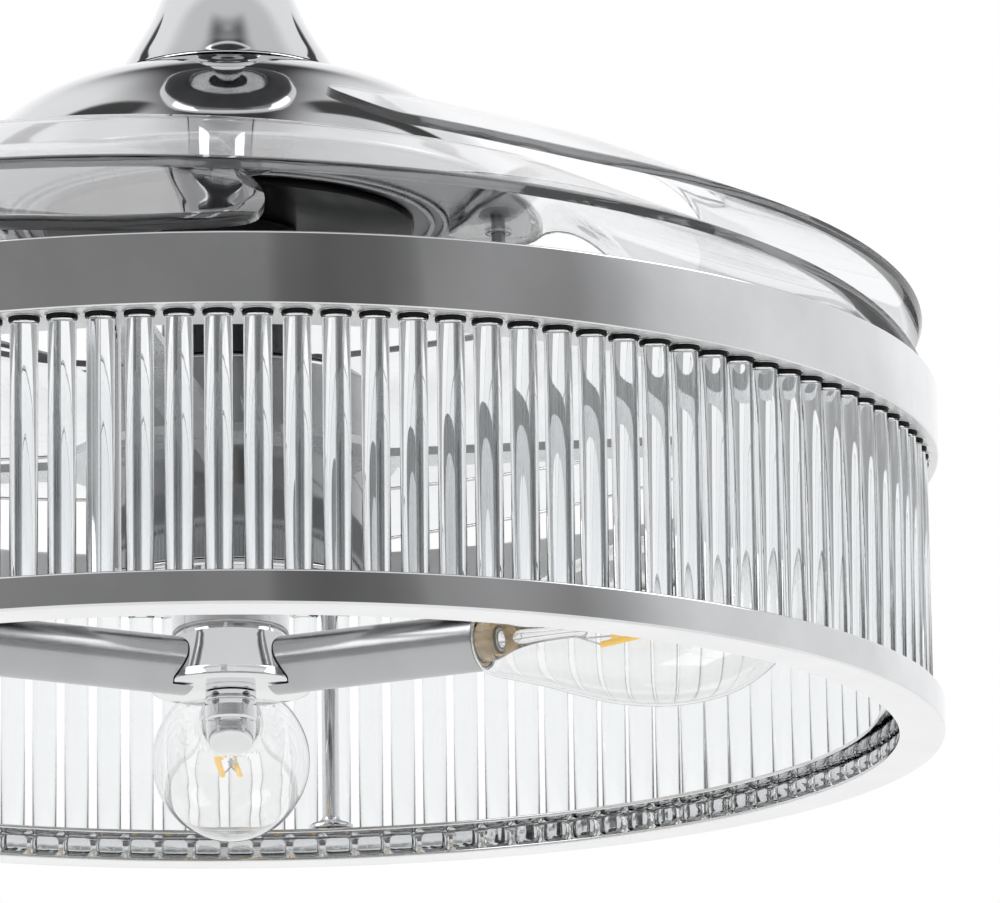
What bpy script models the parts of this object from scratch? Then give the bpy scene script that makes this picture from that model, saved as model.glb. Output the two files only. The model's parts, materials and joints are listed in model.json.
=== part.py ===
"""Ceiling fan with a glass-rod drum light and four folding clear blades.

Metres, +Z up. The origin is the centre of the bracket's ceiling face and all else hangs below it.
The front is -Y. A heading is an angle in degrees from the front towards the right (+X).
"""
import math

import bmesh
import bpy
from mathutils import Matrix, Vector

# Clearances and counts that many pieces share
SEAT_GAP = 0.0003
FIT_GAP = 0.0003
RUN_GAP = 0.0006
CUT_OVERRUN = 0.004
SIDES_RING = 48
SIDES_LARGE = 24
SIDES_MEDIUM = 16
SIDES_SMALL = 12
SIDES_LAMP = 10
SIDES_TINY = 8
SIDES_POST = 6
SIDES_HEX = 6
QUARTER_DEG = 90
SMOOTH_ANGLE_DEG = 35

# Drum of glass rods
DRUM_DROP = 0.375
DRUM_RADIUS = 0.250
RING_WALL = 0.002
FLANGE_THICKNESS = 0.0015
UPPER_RING_HEIGHT = 0.0233
UPPER_FLANGE_WIDTH = 0.028
LOWER_RING_HEIGHT = 0.0117
LOWER_FLANGE_WIDTH = 0.0162
ROD_COUNT = 120
ROD_START_DEG = -15.83
ROD_INSET = 0.0085
ROD_RADIUS = 0.0046
ROD_LENGTH = 0.0874
SEAT_RING_WIDTH = 0.020
SEAT_RING_THICKNESS = 0.0015
SEAT_RING_EDGE_GAP = 0.0005
SEAT_RING_CLEARANCE = 0.0084
LEDGE_WIDTH = 0.0014

# Posts and arms that carry the drum
POST_START_DEG = -9.5
POST_COUNT = 4
POST_INSET = 0.0195
POST_RADIUS = 0.0033
POST_FOOT_LENGTH = 0.017
POST_FOOT_WIDTH = 0.009
POST_FOOT_HEIGHT = 0.0025
STUD_RADIUS = 0.002
STUD_PROUD = 0.001
NUT_RADIUS = 0.0042
NUT_HEIGHT = 0.003
ARM_WIDTH = 0.018
ARM_THICKNESS = 0.003
ARM_END_MARGIN = 0.0055
COLLAR_WIDTH = 0.010

# Lamp housing and motor shaft
HOUSING_RADIUS = 0.049
HOUSING_WALL = 0.002
HOUSING_RISE = 0.010
HOUSING_HEIGHT = 0.074
BASE_THICKNESS = 0.0021
SHAFT_RADIUS = 0.008
SHAFT_BORE_RADIUS = 0.005
SHAFT_TAIL = 0.0095
SHAFT_NUT_RADIUS = 0.013
SHAFT_NUT_HEIGHT = 0.006
NECK_RADIUS = 0.024
NECK_WALL = 0.002

# Lamp arms
HUB_COLUMN_RADIUS = 0.0207
HUB_HEIGHT = 0.0353
HUB_SKIRT_RADIUS = 0.0285
HUB_OUTLINE_SHARES = ((0, 0), (0.726, 0), (0.726, 0.43), (0.77, 0.53), (0.86, 0.70), (0.965, 0.87), (1, 0.96),
                      (0.98, 1), (0, 1))
SADDLE_GAP = 0.0007
SADDLE_START = 0.0185
LAMP_ARM_DROP = 0.0277
LAMP_HEADINGS_DEG = (60, 180, -60)
STUB_RADIUS = 0.005
STUB_TONGUE = 0.004
SLEEVE_START = 0.0305
LAMP_END_CLEARANCE = 0.0196
SLEEVE_RADIUS = 0.01025
SLEEVE_WALL = 0.001
SOCKET_LENGTH = 0.026
SOCKET_WALL = 0.0016
BULB_CAP_LENGTH = 0.022
BULB_LENGTH = 0.116
BULB_RADIUS = 0.0296
BULB_GLASS_SHARES = ((0.43, 0), (0.61, 0.19), (0.88, 0.41), (1, 0.635), (0.85, 0.835), (0.46, 0.96), (0, 1))
FINIAL_RADIUS = 0.009
FINIAL_NECK_HEIGHT = 0.0097
FINIAL_KNOB_HEIGHT = 0.012
FINIAL_KNOB_SHARES = ((0.95, 0.06), (0.96, 0.45), (0.86, 0.82), (0.64, 1), (0, 1))

# Turning plates under the dome
PLATE_RISE = 0.0675
PLATE_THICKNESS = 0.0025
PLATE_EDGE_GAP = 0.0030
PLATE_BORE_RADIUS = 0.058
MIRROR_RADIUS = 0.066
MIRROR_THICKNESS = 0.0023
MIRROR_BORE_RADIUS = 0.012
SYNC_RING_WIDTH = 0.0215
SPOOL_WALL = 0.0064
SPOOL_LIP = 0.0036
SPOOL_LIP_HEIGHT = 0.0013
CARRIER_THICKNESS = 0.0025
CARRIER_EDGE = 0.0022
BEARING_RADIUS = 0.016
BEARING_HEIGHT = 0.0055

# Blade gears and the ring that couples them
GEAR_MODULE = 0.0012
PINION_TEETH = 10
RING_TEETH = 150
GEAR_THICKNESS = 0.003
GEAR_BACKLASH = 0.0003
ADDENDUM_SHARE = 0.85
DEDENDUM_SHARE = 1.25
TOOTH_TIP_SHARE = 0.48
PINION_ROOT_SHARE = 1.2
RING_ROOT_SHARE = 1.45
PINION_TOOTH_STEPS = (-1, 0, 1, 2, 3, 4, 5)
RING_TOOTH_STEPS = (-1.5, -0.5, 0.5, 1.5, 2.5, 3.5, 4.5)
RING_PLAIN_STEPS = (12, 20, 28)
HUB_RADIUS = 0.0044
BOLT_RADIUS = 0.0024
BOLT_HEAD_RADIUS = 0.0068
BOLT_HEAD_HEIGHT = 0.0026

# Return spring round one pivot bolt, under the blade root
SPRING_RADIUS = 0.0046
SPRING_WIRE_RADIUS = 0.00045
SPRING_PITCH = 0.00145
SPRING_TURNS = 3
SPRING_POINTS_PER_TURN = 10
SPRING_WIRE_SIDES = 4

# Blades. Angles run clockwise from the pivot, seen from above.
BLADE_COUNT = 4
BLADE_OUTER_RADIUS = 0.245
BLADE_THICKNESS = 0.003
BLADE_ROOT_RADIUS = 0.018
BLADE_EDGE_RISE = 0.0462
BLADE_EDGE_SHARES = ((-10, 0.011), (0, 0.032), (10, 0.081), (20, 0.149), (30, 0.226), (40, 0.299), (55, 0.381),
                     (150, 0.72), (156, 0.758), (162, 0.816), (168, 0.89), (172, 0.978), (174, 1))
BLADE_SLOPE_SHARE = 0.47
BLADE_FLAT_REACH = 0.014
BLADE_BLEND_REACH = 0.052
BLADE_CAP_BLEND = 0.006
BLADE_HEEL_SIDE_DEG = (100, 50, 0)
BLADE_INNER_SIDE_DEG = (100, 150, 195)
BLADE_OUTER_SHARES = ((0.517, 1.8), (0.591, -1.2), (0.724, -3.3), (0.848, -3.1), (0.939, -1.0), (0.99, 5.5), (1, 13),
                      (1, 27), (1, 42), (1, 58), (1, 74), (1, 90), (1, 106), (1, 121), (1, 135), (1, 148), (1, 158),
                      (0.997, 165), (0.983, 168.3), (0.955, 171))
BLADE_INNER_SHARES = ((0.349, 14), (0.397, 26), (0.504, 37), (0.579, 42.5), (0.628, 48), (0.657, 54), (0.678, 60),
                      (0.69, 70), (0.694, 81), (0.694, 92), (0.694, 103), (0.696, 114), (0.698, 124), (0.702, 134),
                      (0.715, 143), (0.731, 150.5), (0.76, 157.5), (0.798, 163.5), (0.851, 168.2), (0.905, 171.3))
BLADE_TIP_SHARE = (0.931, 171.8)

# Dome and motor
DOME_ROOM = 0.0111
DOME_HEIGHT = 0.052
DOME_WALL = 0.0013
DOME_OUTLINE_SHARES = ((0.402, 0.955), (0.54, 0.868), (0.67, 0.735), (0.79, 0.53), (0.90, 0.295), (1, 0))
MOTOR_SHARE = 0.46875
MOTOR_CUP_WALL = 0.0032
MOTOR_CUP_HEIGHT = 0.0308
LID_THICKNESS = 0.0027
LID_SHOULDER_RADIUS = 0.026
LID_SHOULDER_GAP = 0.0015
LID_TUBE_WALL = 0.0033
LID_TUBE_PROUD = 0.0026
DOME_NUT_WIDTH = 0.0052
DOME_NUT_HEIGHT = 0.0018
MAGNET_WALL = 0.004
MAGNET_HEIGHT = 0.019
AIR_GAP = 0.001
STATOR_HEIGHT = 0.016
POLE_COUNT = 6
STATOR_HUB_RADIUS = 0.016
POLE_WIDTH = 0.008
SHOE_DEPTH = 0.005
SHOE_HALF_DEG = 23
COIL_THICKNESS = 0.003
COIL_END_GAP = 0.0012

# Coupling, downrod and ceiling bracket
COVER_RADIUS = 0.0403
COVER_HEIGHT = 0.0715
COVER_WALL = 0.0012
COVER_GAP = 0.004
COVER_OUTLINE_SHARES = ((0.335, 1), (0.375, 0.72), (0.537, 0.472), (0.691, 0.273), (0.906, 0.077), (1, 0))
YOKE_RADIUS = 0.015
YOKE_SOCKET_DEPTH = 0.0145
YOKE_WEB = 0.0023
YOKE_WIRE_RADIUS = 0.004
YOKE_ROD_DEPTH = 0.0177
YOKE_PIN_RADIUS = 0.003
YOKE_PIN_HEAD_RADIUS = 0.0048
YOKE_PIN_HEAD = 0.002
YOKE_PIN_RISE = 0.010
CLIP_RADIUS = 0.0052
CLIP_THICKNESS = 0.0012
PIN_TAIL = 0.0025
DOWNROD_RADIUS = 0.0105
DOWNROD_WALL = 0.003
DOWNROD_PROUD = 0.001
GROMMET_HEIGHT = 0.004
GROMMET_WIDTH = 0.0026
BALL_RADIUS = 0.022
BALL_DROP = 0.052
BALL_BAND_DEG = (-60.6, -38, -13, 13, 38, 60.6)
BALL_PIN_RADIUS = 0.0028
BRACKET_THICKNESS = 0.003
BRACKET_HALF_LENGTH = 0.0655
BRACKET_WIDTH = 0.066
PLATE_HALF_LENGTH = 0.042
LEG_WIDTH = 0.034
BALL_SEAT_RADIUS = 0.039
BALL_SEAT_DROP = 0.066
EAR_THICKNESS = 0.0025
EAR_WIDTH = 0.020
EAR_HEIGHT = 0.019
CANOPY_RADIUS = 0.070
CANOPY_HEIGHT = 0.0795
CANOPY_CEILING_GAP = 0.0005
CANOPY_WALL = 0.0015
CANOPY_OUTLINE_SHARES = ((1, 0), (1, 0.37), (0.943, 0.648), (0.8, 0.874), (0.571, 0.987), (0.486, 1))
CANOPY_SCREW_RADIUS = 0.0016
CANOPY_SCREW_HEAD_RADIUS = 0.0034
CANOPY_SCREW_HEAD = 0.0016
CANOPY_SCREW_DROP = 0.0145
RECEIVER_LENGTH = 0.084
RECEIVER_WIDTH = 0.030
RECEIVER_HEIGHT = 0.022

# Finishes: base colour, metallic, roughness, transmission
CHROME = ("chrome", (0.78, 0.79, 0.80), 1.0, 0.08, 0.0)
CLEAR_GLASS = ("clear_glass", (0.93, 0.95, 0.96), 0.0, 0.03, 0.95)
CLEAR_ACRYLIC = ("clear_acrylic", (0.96, 0.97, 0.98), 0.0, 0.04, 0.95)
BLACK_PLASTIC = ("black_plastic", (0.03, 0.03, 0.035), 0.0, 0.4, 0.0)
BLACK_MIRROR = ("black_mirror", (0.05, 0.05, 0.055), 0.6, 0.12, 0.0)
WHITE_PLASTIC = ("white_plastic", (0.85, 0.85, 0.83), 0.0, 0.45, 0.0)
STEEL = ("steel", (0.62, 0.63, 0.65), 1.0, 0.3, 0.0)
GREY_CAST = ("grey_cast", (0.45, 0.46, 0.47), 0.9, 0.45, 0.0)
BRASS = ("brass", (0.75, 0.58, 0.30), 1.0, 0.25, 0.0)
SPRING_STEEL = ("spring_steel", (0.35, 0.35, 0.37), 1.0, 0.35, 0.0)

# Heights worked out from the sizes above, from the drum upwards and downwards
DRUM_TOP = -DRUM_DROP
FLANGE_BOTTOM = DRUM_TOP - UPPER_RING_HEIGHT
FLANGE_TOP = FLANGE_BOTTOM + FLANGE_THICKNESS
ROD_TOP = FLANGE_BOTTOM - SEAT_GAP
SEAT_RING_TOP = ROD_TOP - ROD_LENGTH
SEAT_RING_BOTTOM = SEAT_RING_TOP - SEAT_RING_THICKNESS
LOWER_FLANGE_TOP = SEAT_RING_BOTTOM - SEAT_RING_CLEARANCE
DRUM_BOTTOM = LOWER_FLANGE_TOP - FLANGE_THICKNESS
ROD_CIRCLE = DRUM_RADIUS - ROD_INSET
POST_CIRCLE = DRUM_RADIUS - POST_INSET
SLEEVE_END = ROD_CIRCLE - ROD_RADIUS - LAMP_END_CLEARANCE - BULB_LENGTH - SEAT_GAP
STUB_REACH = SLEEVE_START + STUB_TONGUE
ARM_BOTTOM = FLANGE_TOP + SEAT_GAP
ARM_TOP = ARM_BOTTOM + ARM_THICKNESS
HOUSING_TOP = DRUM_TOP + HOUSING_RISE
HOUSING_BOTTOM = HOUSING_TOP - HOUSING_HEIGHT
BASE_TOP = HOUSING_BOTTOM - SEAT_GAP
BASE_BOTTOM = BASE_TOP - BASE_THICKNESS
HUB_TOP = BASE_BOTTOM - SEAT_GAP
HUB_BOTTOM = HUB_TOP - HUB_HEIGHT
LAMP_HEIGHT = HUB_TOP - LAMP_ARM_DROP
PLATE_BOTTOM = DRUM_TOP + PLATE_RISE
PLATE_TOP = PLATE_BOTTOM + PLATE_THICKNESS
MIRROR_TOP = PLATE_BOTTOM - SEAT_GAP
MIRROR_BOTTOM = MIRROR_TOP - MIRROR_THICKNESS
GEAR_BOTTOM = PLATE_TOP + RUN_GAP
GEAR_TOP = GEAR_BOTTOM + GEAR_THICKNESS
SPOOL_BOTTOM = PLATE_TOP + SEAT_GAP
SPOOL_LIP_BOTTOM = GEAR_TOP + RUN_GAP
SPOOL_TOP = SPOOL_LIP_BOTTOM + SPOOL_LIP_HEIGHT
CARRIER_BOTTOM = SPOOL_TOP + SEAT_GAP
CARRIER_TOP = CARRIER_BOTTOM + CARRIER_THICKNESS
PITCH_SHARE = 0.5
PIVOT_CIRCLE = GEAR_MODULE * PITCH_SHARE * (PINION_TEETH + RING_TEETH)
RING_ROOT_RADIUS = GEAR_MODULE * (PITCH_SHARE * RING_TEETH - DEDENDUM_SHARE)
SPOOL_RADIUS = RING_ROOT_RADIUS - SYNC_RING_WIDTH - RUN_GAP
CARRIER_RADIUS = PIVOT_CIRCLE + BOLT_RADIUS + FIT_GAP + CARRIER_EDGE
DOME_RADIUS = CARRIER_RADIUS + DOME_ROOM
MOTOR_RADIUS = DOME_RADIUS * MOTOR_SHARE
BLADE_TOP = PLATE_BOTTOM - RUN_GAP
BLADE_BOTTOM = BLADE_TOP - BLADE_THICKNESS
BLADE_LEVEL = BLADE_TOP - BLADE_THICKNESS / 2
SPRING_ROOM = SPRING_PITCH * SPRING_TURNS + SPRING_WIRE_RADIUS * 2
BOLT_HEAD_TOP = BLADE_BOTTOM - SPRING_ROOM - SEAT_GAP * 2
CUP_BOTTOM = CARRIER_TOP + SEAT_GAP
CUP_TOP = CUP_BOTTOM + MOTOR_CUP_HEIGHT
LID_BOTTOM = CUP_TOP + SEAT_GAP
LID_TOP = LID_BOTTOM + LID_THICKNESS
DOME_BOTTOM = PLATE_BOTTOM
DOME_TOP = DOME_BOTTOM + DOME_HEIGHT
LID_SHOULDER_TOP = DOME_TOP - DOME_WALL - LID_SHOULDER_GAP
LID_BORE_RADIUS = (BEARING_RADIUS + FIT_GAP) / math.cos(math.pi / SIDES_MEDIUM)
LID_TUBE_RADIUS = LID_BORE_RADIUS + LID_TUBE_WALL
LID_TUBE_TOP = DOME_TOP + LID_TUBE_PROUD
UPPER_BEARING_BOTTOM = LID_BOTTOM
UPPER_BEARING_TOP = UPPER_BEARING_BOTTOM + BEARING_HEIGHT
YOKE_BOTTOM = UPPER_BEARING_TOP + RUN_GAP
SHAFT_TOP = YOKE_BOTTOM + YOKE_SOCKET_DEPTH - SEAT_GAP
ROD_SOCKET_BOTTOM = YOKE_BOTTOM + YOKE_SOCKET_DEPTH + YOKE_WEB
YOKE_TOP = ROD_SOCKET_BOTTOM + YOKE_ROD_DEPTH
YOKE_PIN_HEIGHT = ROD_SOCKET_BOTTOM + YOKE_PIN_RISE
COVER_BOTTOM = DOME_TOP + COVER_GAP
COVER_TOP = COVER_BOTTOM + COVER_HEIGHT
DOWNROD_BOTTOM = ROD_SOCKET_BOTTOM + SEAT_GAP
DOWNROD_TOP = -BALL_DROP + BALL_RADIUS + DOWNROD_PROUD
BRACKET_BOTTOM = -BRACKET_THICKNESS
BALL_SEAT_TOP = -BALL_SEAT_DROP
BALL_SEAT_BOTTOM = BALL_SEAT_TOP - BRACKET_THICKNESS
CANOPY_TOP = -CANOPY_CEILING_GAP
RECEIVER_TOP = BRACKET_BOTTOM - SEAT_GAP
SHAFT_CLEAR_RADIUS = SHAFT_RADIUS + FIT_GAP
BEARING_BORE_RADIUS = SHAFT_RADIUS + RUN_GAP
STUD_CLEAR_RADIUS = STUD_RADIUS + FIT_GAP
BLADE_HEADINGS_DEG = (180, 90, 0, -90)


def clear_scene():
    """Remove every object that the file starts with."""
    for item in list(bpy.data.objects):
        bpy.data.objects.remove(item, do_unlink=True)


def compass(heading_deg):
    """Angle about +Z, in radians, of a heading."""
    return math.radians(heading_deg - QUARTER_DEG)


def turned(profile, sides, phase_deg=0):
    """Solid made by turning a closed (radius, height) outline round Z."""
    vertices = []
    faces = []
    rows = []
    for radius, height in profile:
        steps = 1 if radius == 0 else sides
        rows.append([len(vertices) + step for step in range(steps)])
        for step in range(steps):
            angle = math.tau * step / sides + math.radians(phase_deg)
            vertices.append((radius * math.cos(angle), radius * math.sin(angle), height))
    pairs = list(zip(rows, rows[1:]))
    if len(rows[0]) > 1 and len(rows[-1]) > 1:
        pairs.append((rows[-1], rows[0]))
    for first, second in pairs:
        for step in range(sides):
            after = (step + 1) % sides
            corners = (first[step % len(first)], first[after % len(first)],
                       second[after % len(second)], second[step % len(second)])
            faces.append(tuple(dict.fromkeys(corners)))
    return vertices, faces


def flat_phase_deg(sides):
    """Turn that puts a flat of a many-sided piece, not a corner, on the X axis."""
    return math.degrees(math.pi) / sides


def clear_of(radius, sides):
    """Corner radius of a many-sided bore whose flats stay outside a radius."""
    return radius / math.cos(math.pi / sides)


def cylinder(radius, bottom, top, sides, phase_deg=0):
    """Plain round bar along Z with flat polygon ends."""
    outline = []
    for step in range(sides):
        angle = math.tau * step / sides + math.radians(phase_deg)
        outline.append((radius * math.cos(angle), radius * math.sin(angle)))
    return prism(outline, bottom, top)


def tube(inner, outer, bottom, top, sides, phase_deg=0):
    """Round tube along Z."""
    return turned(((inner, bottom), (outer, bottom), (outer, top), (inner, top)), sides, phase_deg)


def prism(outline, bottom, top):
    """Flat outline pulled up from bottom to top."""
    count = len(outline)
    vertices = [(x, y, bottom) for x, y in outline]
    vertices += [(x, y, top) for x, y in outline]
    faces = [tuple(range(count)), tuple(range(count, count + count))]
    for step in range(count):
        after = (step + 1) % count
        faces.append((step, after, count + after, count + step))
    return vertices, faces


def stacked(rings):
    """Solid skinned over rings of points that all have the same count, closed at both ends."""
    count = len(rings[0])
    vertices = [point for ring in rings for point in ring]
    faces = [tuple(range(count)), tuple(range(len(vertices) - count, len(vertices)))]
    for level in range(len(rings) - 1):
        base = level * count
        for step in range(count):
            after = (step + 1) % count
            faces.append((base + step, base + after, base + count + after, base + count + step))
    return vertices, faces


def block(left, right, front, back, bottom, top):
    """Plain box between six planes."""
    return prism(((left, front), (right, front), (right, back), (left, back)), bottom, top)


def moved(solid, matrix):
    """Copy of a solid under a matrix."""
    vertices, faces = solid
    return [tuple(matrix @ Vector(point)) for point in vertices], faces


def spun(solid, angle):
    """Copy of a solid turned about Z."""
    return moved(solid, Matrix.Rotation(angle, 4, "Z"))


def shifted(solid, x, y, z):
    """Copy of a solid moved along the axes."""
    return moved(solid, Matrix.Translation((x, y, z)))


def pointing(solid, heading_deg, height):
    """Lay a solid built along Z on a level axis that runs outwards at a heading."""
    lay = Matrix.Rotation(math.radians(QUARTER_DEG), 4, "Y")
    turn = Matrix.Rotation(compass(heading_deg), 4, "Z")
    return moved(solid, Matrix.Translation((0, 0, height)) @ turn @ lay)


def joined(solids):
    """One vertex and face list for several solids."""
    vertices = []
    faces = []
    for points, polygons in solids:
        start = len(vertices)
        vertices += points
        faces += [tuple(start + index for index in polygon) for polygon in polygons]
    return vertices, faces


def mesh_of(name, solid):
    """Mesh with every face pointing out."""
    mesh = bpy.data.meshes.new(name)
    mesh.from_pydata(solid[0], [], solid[1])
    work = bmesh.new()
    work.from_mesh(mesh)
    bmesh.ops.recalc_face_normals(work, faces=work.faces)
    work.to_mesh(mesh)
    work.free()
    return mesh


def boolean(base, tools, operation):
    """Cut the tools from a solid, or fuse them with it."""
    result = base
    for tool in tools:
        target = bpy.data.objects.new("boolean_target", mesh_of("boolean_target", result))
        other = bpy.data.objects.new("boolean_tool", mesh_of("boolean_tool", tool))
        bpy.context.scene.collection.objects.link(target)
        bpy.context.scene.collection.objects.link(other)
        modifier = target.modifiers.new("combine", "BOOLEAN")
        modifier.solver = "EXACT"
        modifier.operation = operation
        modifier.object = other
        view = bpy.context.evaluated_depsgraph_get()
        mesh = bpy.data.meshes.new_from_object(target.evaluated_get(view))
        result = ([tuple(vertex.co) for vertex in mesh.vertices], [tuple(face.vertices) for face in mesh.polygons])
        bpy.data.objects.remove(target, do_unlink=True)
        bpy.data.objects.remove(other, do_unlink=True)
        bpy.data.meshes.remove(mesh)
    return result


def cut(base, tools):
    """Solid less the tools."""
    return boolean(base, tools, "DIFFERENCE")


def fuse(base, tools):
    """Solid and tools as one body."""
    return boolean(base, tools, "UNION")


def material_of(finish):
    """Principled material for a finish, made once."""
    name, colour, metallic, roughness, transmission = finish
    if name in bpy.data.materials:
        return bpy.data.materials[name]
    material = bpy.data.materials.new(name)
    material.use_nodes = True
    shader = material.node_tree.nodes["Principled BSDF"]
    shader.inputs["Base Color"].default_value = (*colour, 1)
    shader.inputs["Metallic"].default_value = metallic
    shader.inputs["Roughness"].default_value = roughness
    shader.inputs["Transmission Weight"].default_value = transmission
    material.diffuse_color = (*colour, 1)
    return material


def piece(name, solid, finish):
    """Named object for one node of the part."""
    mesh = mesh_of(name, solid)
    mesh.shade_smooth()
    mesh.set_sharp_from_angle(angle=math.radians(SMOOTH_ANGLE_DEG))
    mesh.materials.append(material_of(finish))
    item = bpy.data.objects.new(name, mesh)
    bpy.context.scene.collection.objects.link(item)
    return item


def inner_wall(outline, wall):
    """Points one wall inside an outline that runs from its top to its rim on the outer side."""
    moved_points = []
    for index, point in enumerate(outline):
        before = Vector(outline[max(index - 1, 0)])
        after = Vector(outline[min(index + 1, len(outline) - 1)])
        along = (after - before).normalized()
        moved_points.append((point[0] + along.y * wall, point[1] - along.x * wall))
    return moved_points


def scaled_outline(shares, radius, height, base):
    """Turning outline from shares of a radius and a height above a base."""
    return [(across * radius, base + up * height) for across, up in shares]


def build_rings():
    """Upper ring, and lower ring with a rolled ledge that the seat ring rests on."""
    inner = DRUM_RADIUS - RING_WALL
    flange = DRUM_RADIUS - UPPER_FLANGE_WIDTH
    upper = turned(((DRUM_RADIUS, DRUM_TOP), (DRUM_RADIUS, FLANGE_BOTTOM), (flange, FLANGE_BOTTOM),
                    (flange, FLANGE_TOP), (inner, FLANGE_TOP), (inner, DRUM_TOP)), SIDES_RING)
    holes = post_copies(cylinder(STUD_CLEAR_RADIUS, FLANGE_BOTTOM - CUT_OVERRUN, FLANGE_TOP + CUT_OVERRUN, SIDES_HEX))
    piece("upper_ring", cut(upper, [joined(holes)]), CHROME)
    lip = DRUM_RADIUS - LOWER_FLANGE_WIDTH
    wall_top = DRUM_BOTTOM + LOWER_RING_HEIGHT
    ledge = inner - LEDGE_WIDTH
    ledge_top = SEAT_RING_BOTTOM - SEAT_GAP
    lower = turned(((DRUM_RADIUS, wall_top), (DRUM_RADIUS, DRUM_BOTTOM), (lip, DRUM_BOTTOM),
                    (lip, LOWER_FLANGE_TOP), (inner, LOWER_FLANGE_TOP), (inner, ledge_top - LEDGE_WIDTH),
                    (ledge, ledge_top), (inner, ledge_top), (inner, wall_top)), SIDES_RING)
    piece("lower_ring", lower, CHROME)


def rod_copies(solid):
    """Copies of a solid at every rod of the drum."""
    step_deg = math.degrees(math.tau) / ROD_COUNT
    return [spun(solid, compass(ROD_START_DEG + step_deg * index)) for index in range(ROD_COUNT)]


def build_rods():
    """Seat ring with the glass rods that stand on it."""
    seat_outer = DRUM_RADIUS - RING_WALL - SEAT_RING_EDGE_GAP
    seat = tube(seat_outer - SEAT_RING_WIDTH, seat_outer, SEAT_RING_BOTTOM, SEAT_RING_TOP, SIDES_RING)
    rod_foot = SEAT_RING_TOP - SEAT_RING_THICKNESS / 2
    rod = shifted(cylinder(ROD_RADIUS, rod_foot, ROD_TOP, SIDES_HEX), ROD_CIRCLE, 0, 0)
    piece("glass_rods", fuse(seat, [joined(rod_copies(rod))]), CLEAR_GLASS)


def post_copies(solid):
    """Copies of a solid, built on the axis, at every post."""
    step_deg = math.degrees(math.tau) / POST_COUNT
    placed = shifted(solid, POST_CIRCLE, 0, 0)
    return [spun(placed, compass(POST_START_DEG + step_deg * index)) for index in range(POST_COUNT)]


def oval(half_x, half_y, height, sides):
    """Level ring of points on an oval."""
    angles = [math.tau * step / sides for step in range(sides)]
    return [(half_x * math.cos(angle), half_y * math.sin(angle), height) for angle in angles]


def build_posts():
    """Posts with an oval foot on the seat ring and a stud up through the arm."""
    foot_bottom = SEAT_RING_TOP + SEAT_GAP
    foot_top = foot_bottom + POST_FOOT_HEIGHT
    shoulder = FLANGE_BOTTOM - SEAT_GAP
    foot_x = POST_FOOT_WIDTH / 2
    foot_y = POST_FOOT_LENGTH / 2
    stud_top = ARM_TOP + NUT_HEIGHT + STUD_PROUD
    post = stacked((oval(foot_x, foot_y, foot_bottom, SIDES_POST), oval(foot_x, foot_y, foot_top, SIDES_POST),
                    oval(POST_RADIUS, POST_RADIUS, foot_top, SIDES_POST),
                    oval(POST_RADIUS, POST_RADIUS, shoulder, SIDES_POST),
                    oval(STUD_RADIUS, STUD_RADIUS, shoulder, SIDES_POST),
                    oval(STUD_RADIUS, STUD_RADIUS, stud_top, SIDES_POST)))
    for number, solid in enumerate(post_copies(post), 1):
        piece("tie_post_%d" % number, solid, CHROME)


def build_spider():
    """Collar round the housing with an arm and a welded nut for each post."""
    bore = HOUSING_RADIUS + FIT_GAP
    rim = bore + COLLAR_WIDTH
    reach = POST_CIRCLE + ARM_END_MARGIN
    half = ARM_WIDTH / 2
    spread_deg = math.degrees(math.asin(half / rim))
    step_deg = math.degrees(math.tau) / POST_COUNT
    outline = []
    for index in range(POST_COUNT):
        base = compass(POST_START_DEG + step_deg * index)
        start = rim * math.cos(math.radians(spread_deg))
        for along, across in ((start, -half), (reach, -half), (reach, half), (start, half)):
            outline.append((along * math.cos(base) - across * math.sin(base),
                            along * math.sin(base) + across * math.cos(base)))
        for share in (1, 2, 3):
            angle = base + math.radians(spread_deg + (step_deg - 2 * spread_deg) * share / 4)
            outline.append((rim * math.cos(angle), rim * math.sin(angle)))
    plate = prism(outline, ARM_BOTTOM, ARM_TOP)
    nuts = post_copies(cylinder(NUT_RADIUS, ARM_TOP - ARM_THICKNESS / 2, ARM_TOP + NUT_HEIGHT, SIDES_HEX))
    low = ARM_BOTTOM - CUT_OVERRUN
    high = ARM_TOP + NUT_HEIGHT + CUT_OVERRUN
    holes = post_copies(cylinder(STUD_CLEAR_RADIUS, low, high, SIDES_HEX))
    holes.append(cylinder(bore, low, high, SIDES_LARGE))
    piece("drum_spider", cut(fuse(plate, [joined(nuts)]), [joined(holes)]), STEEL)


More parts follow.
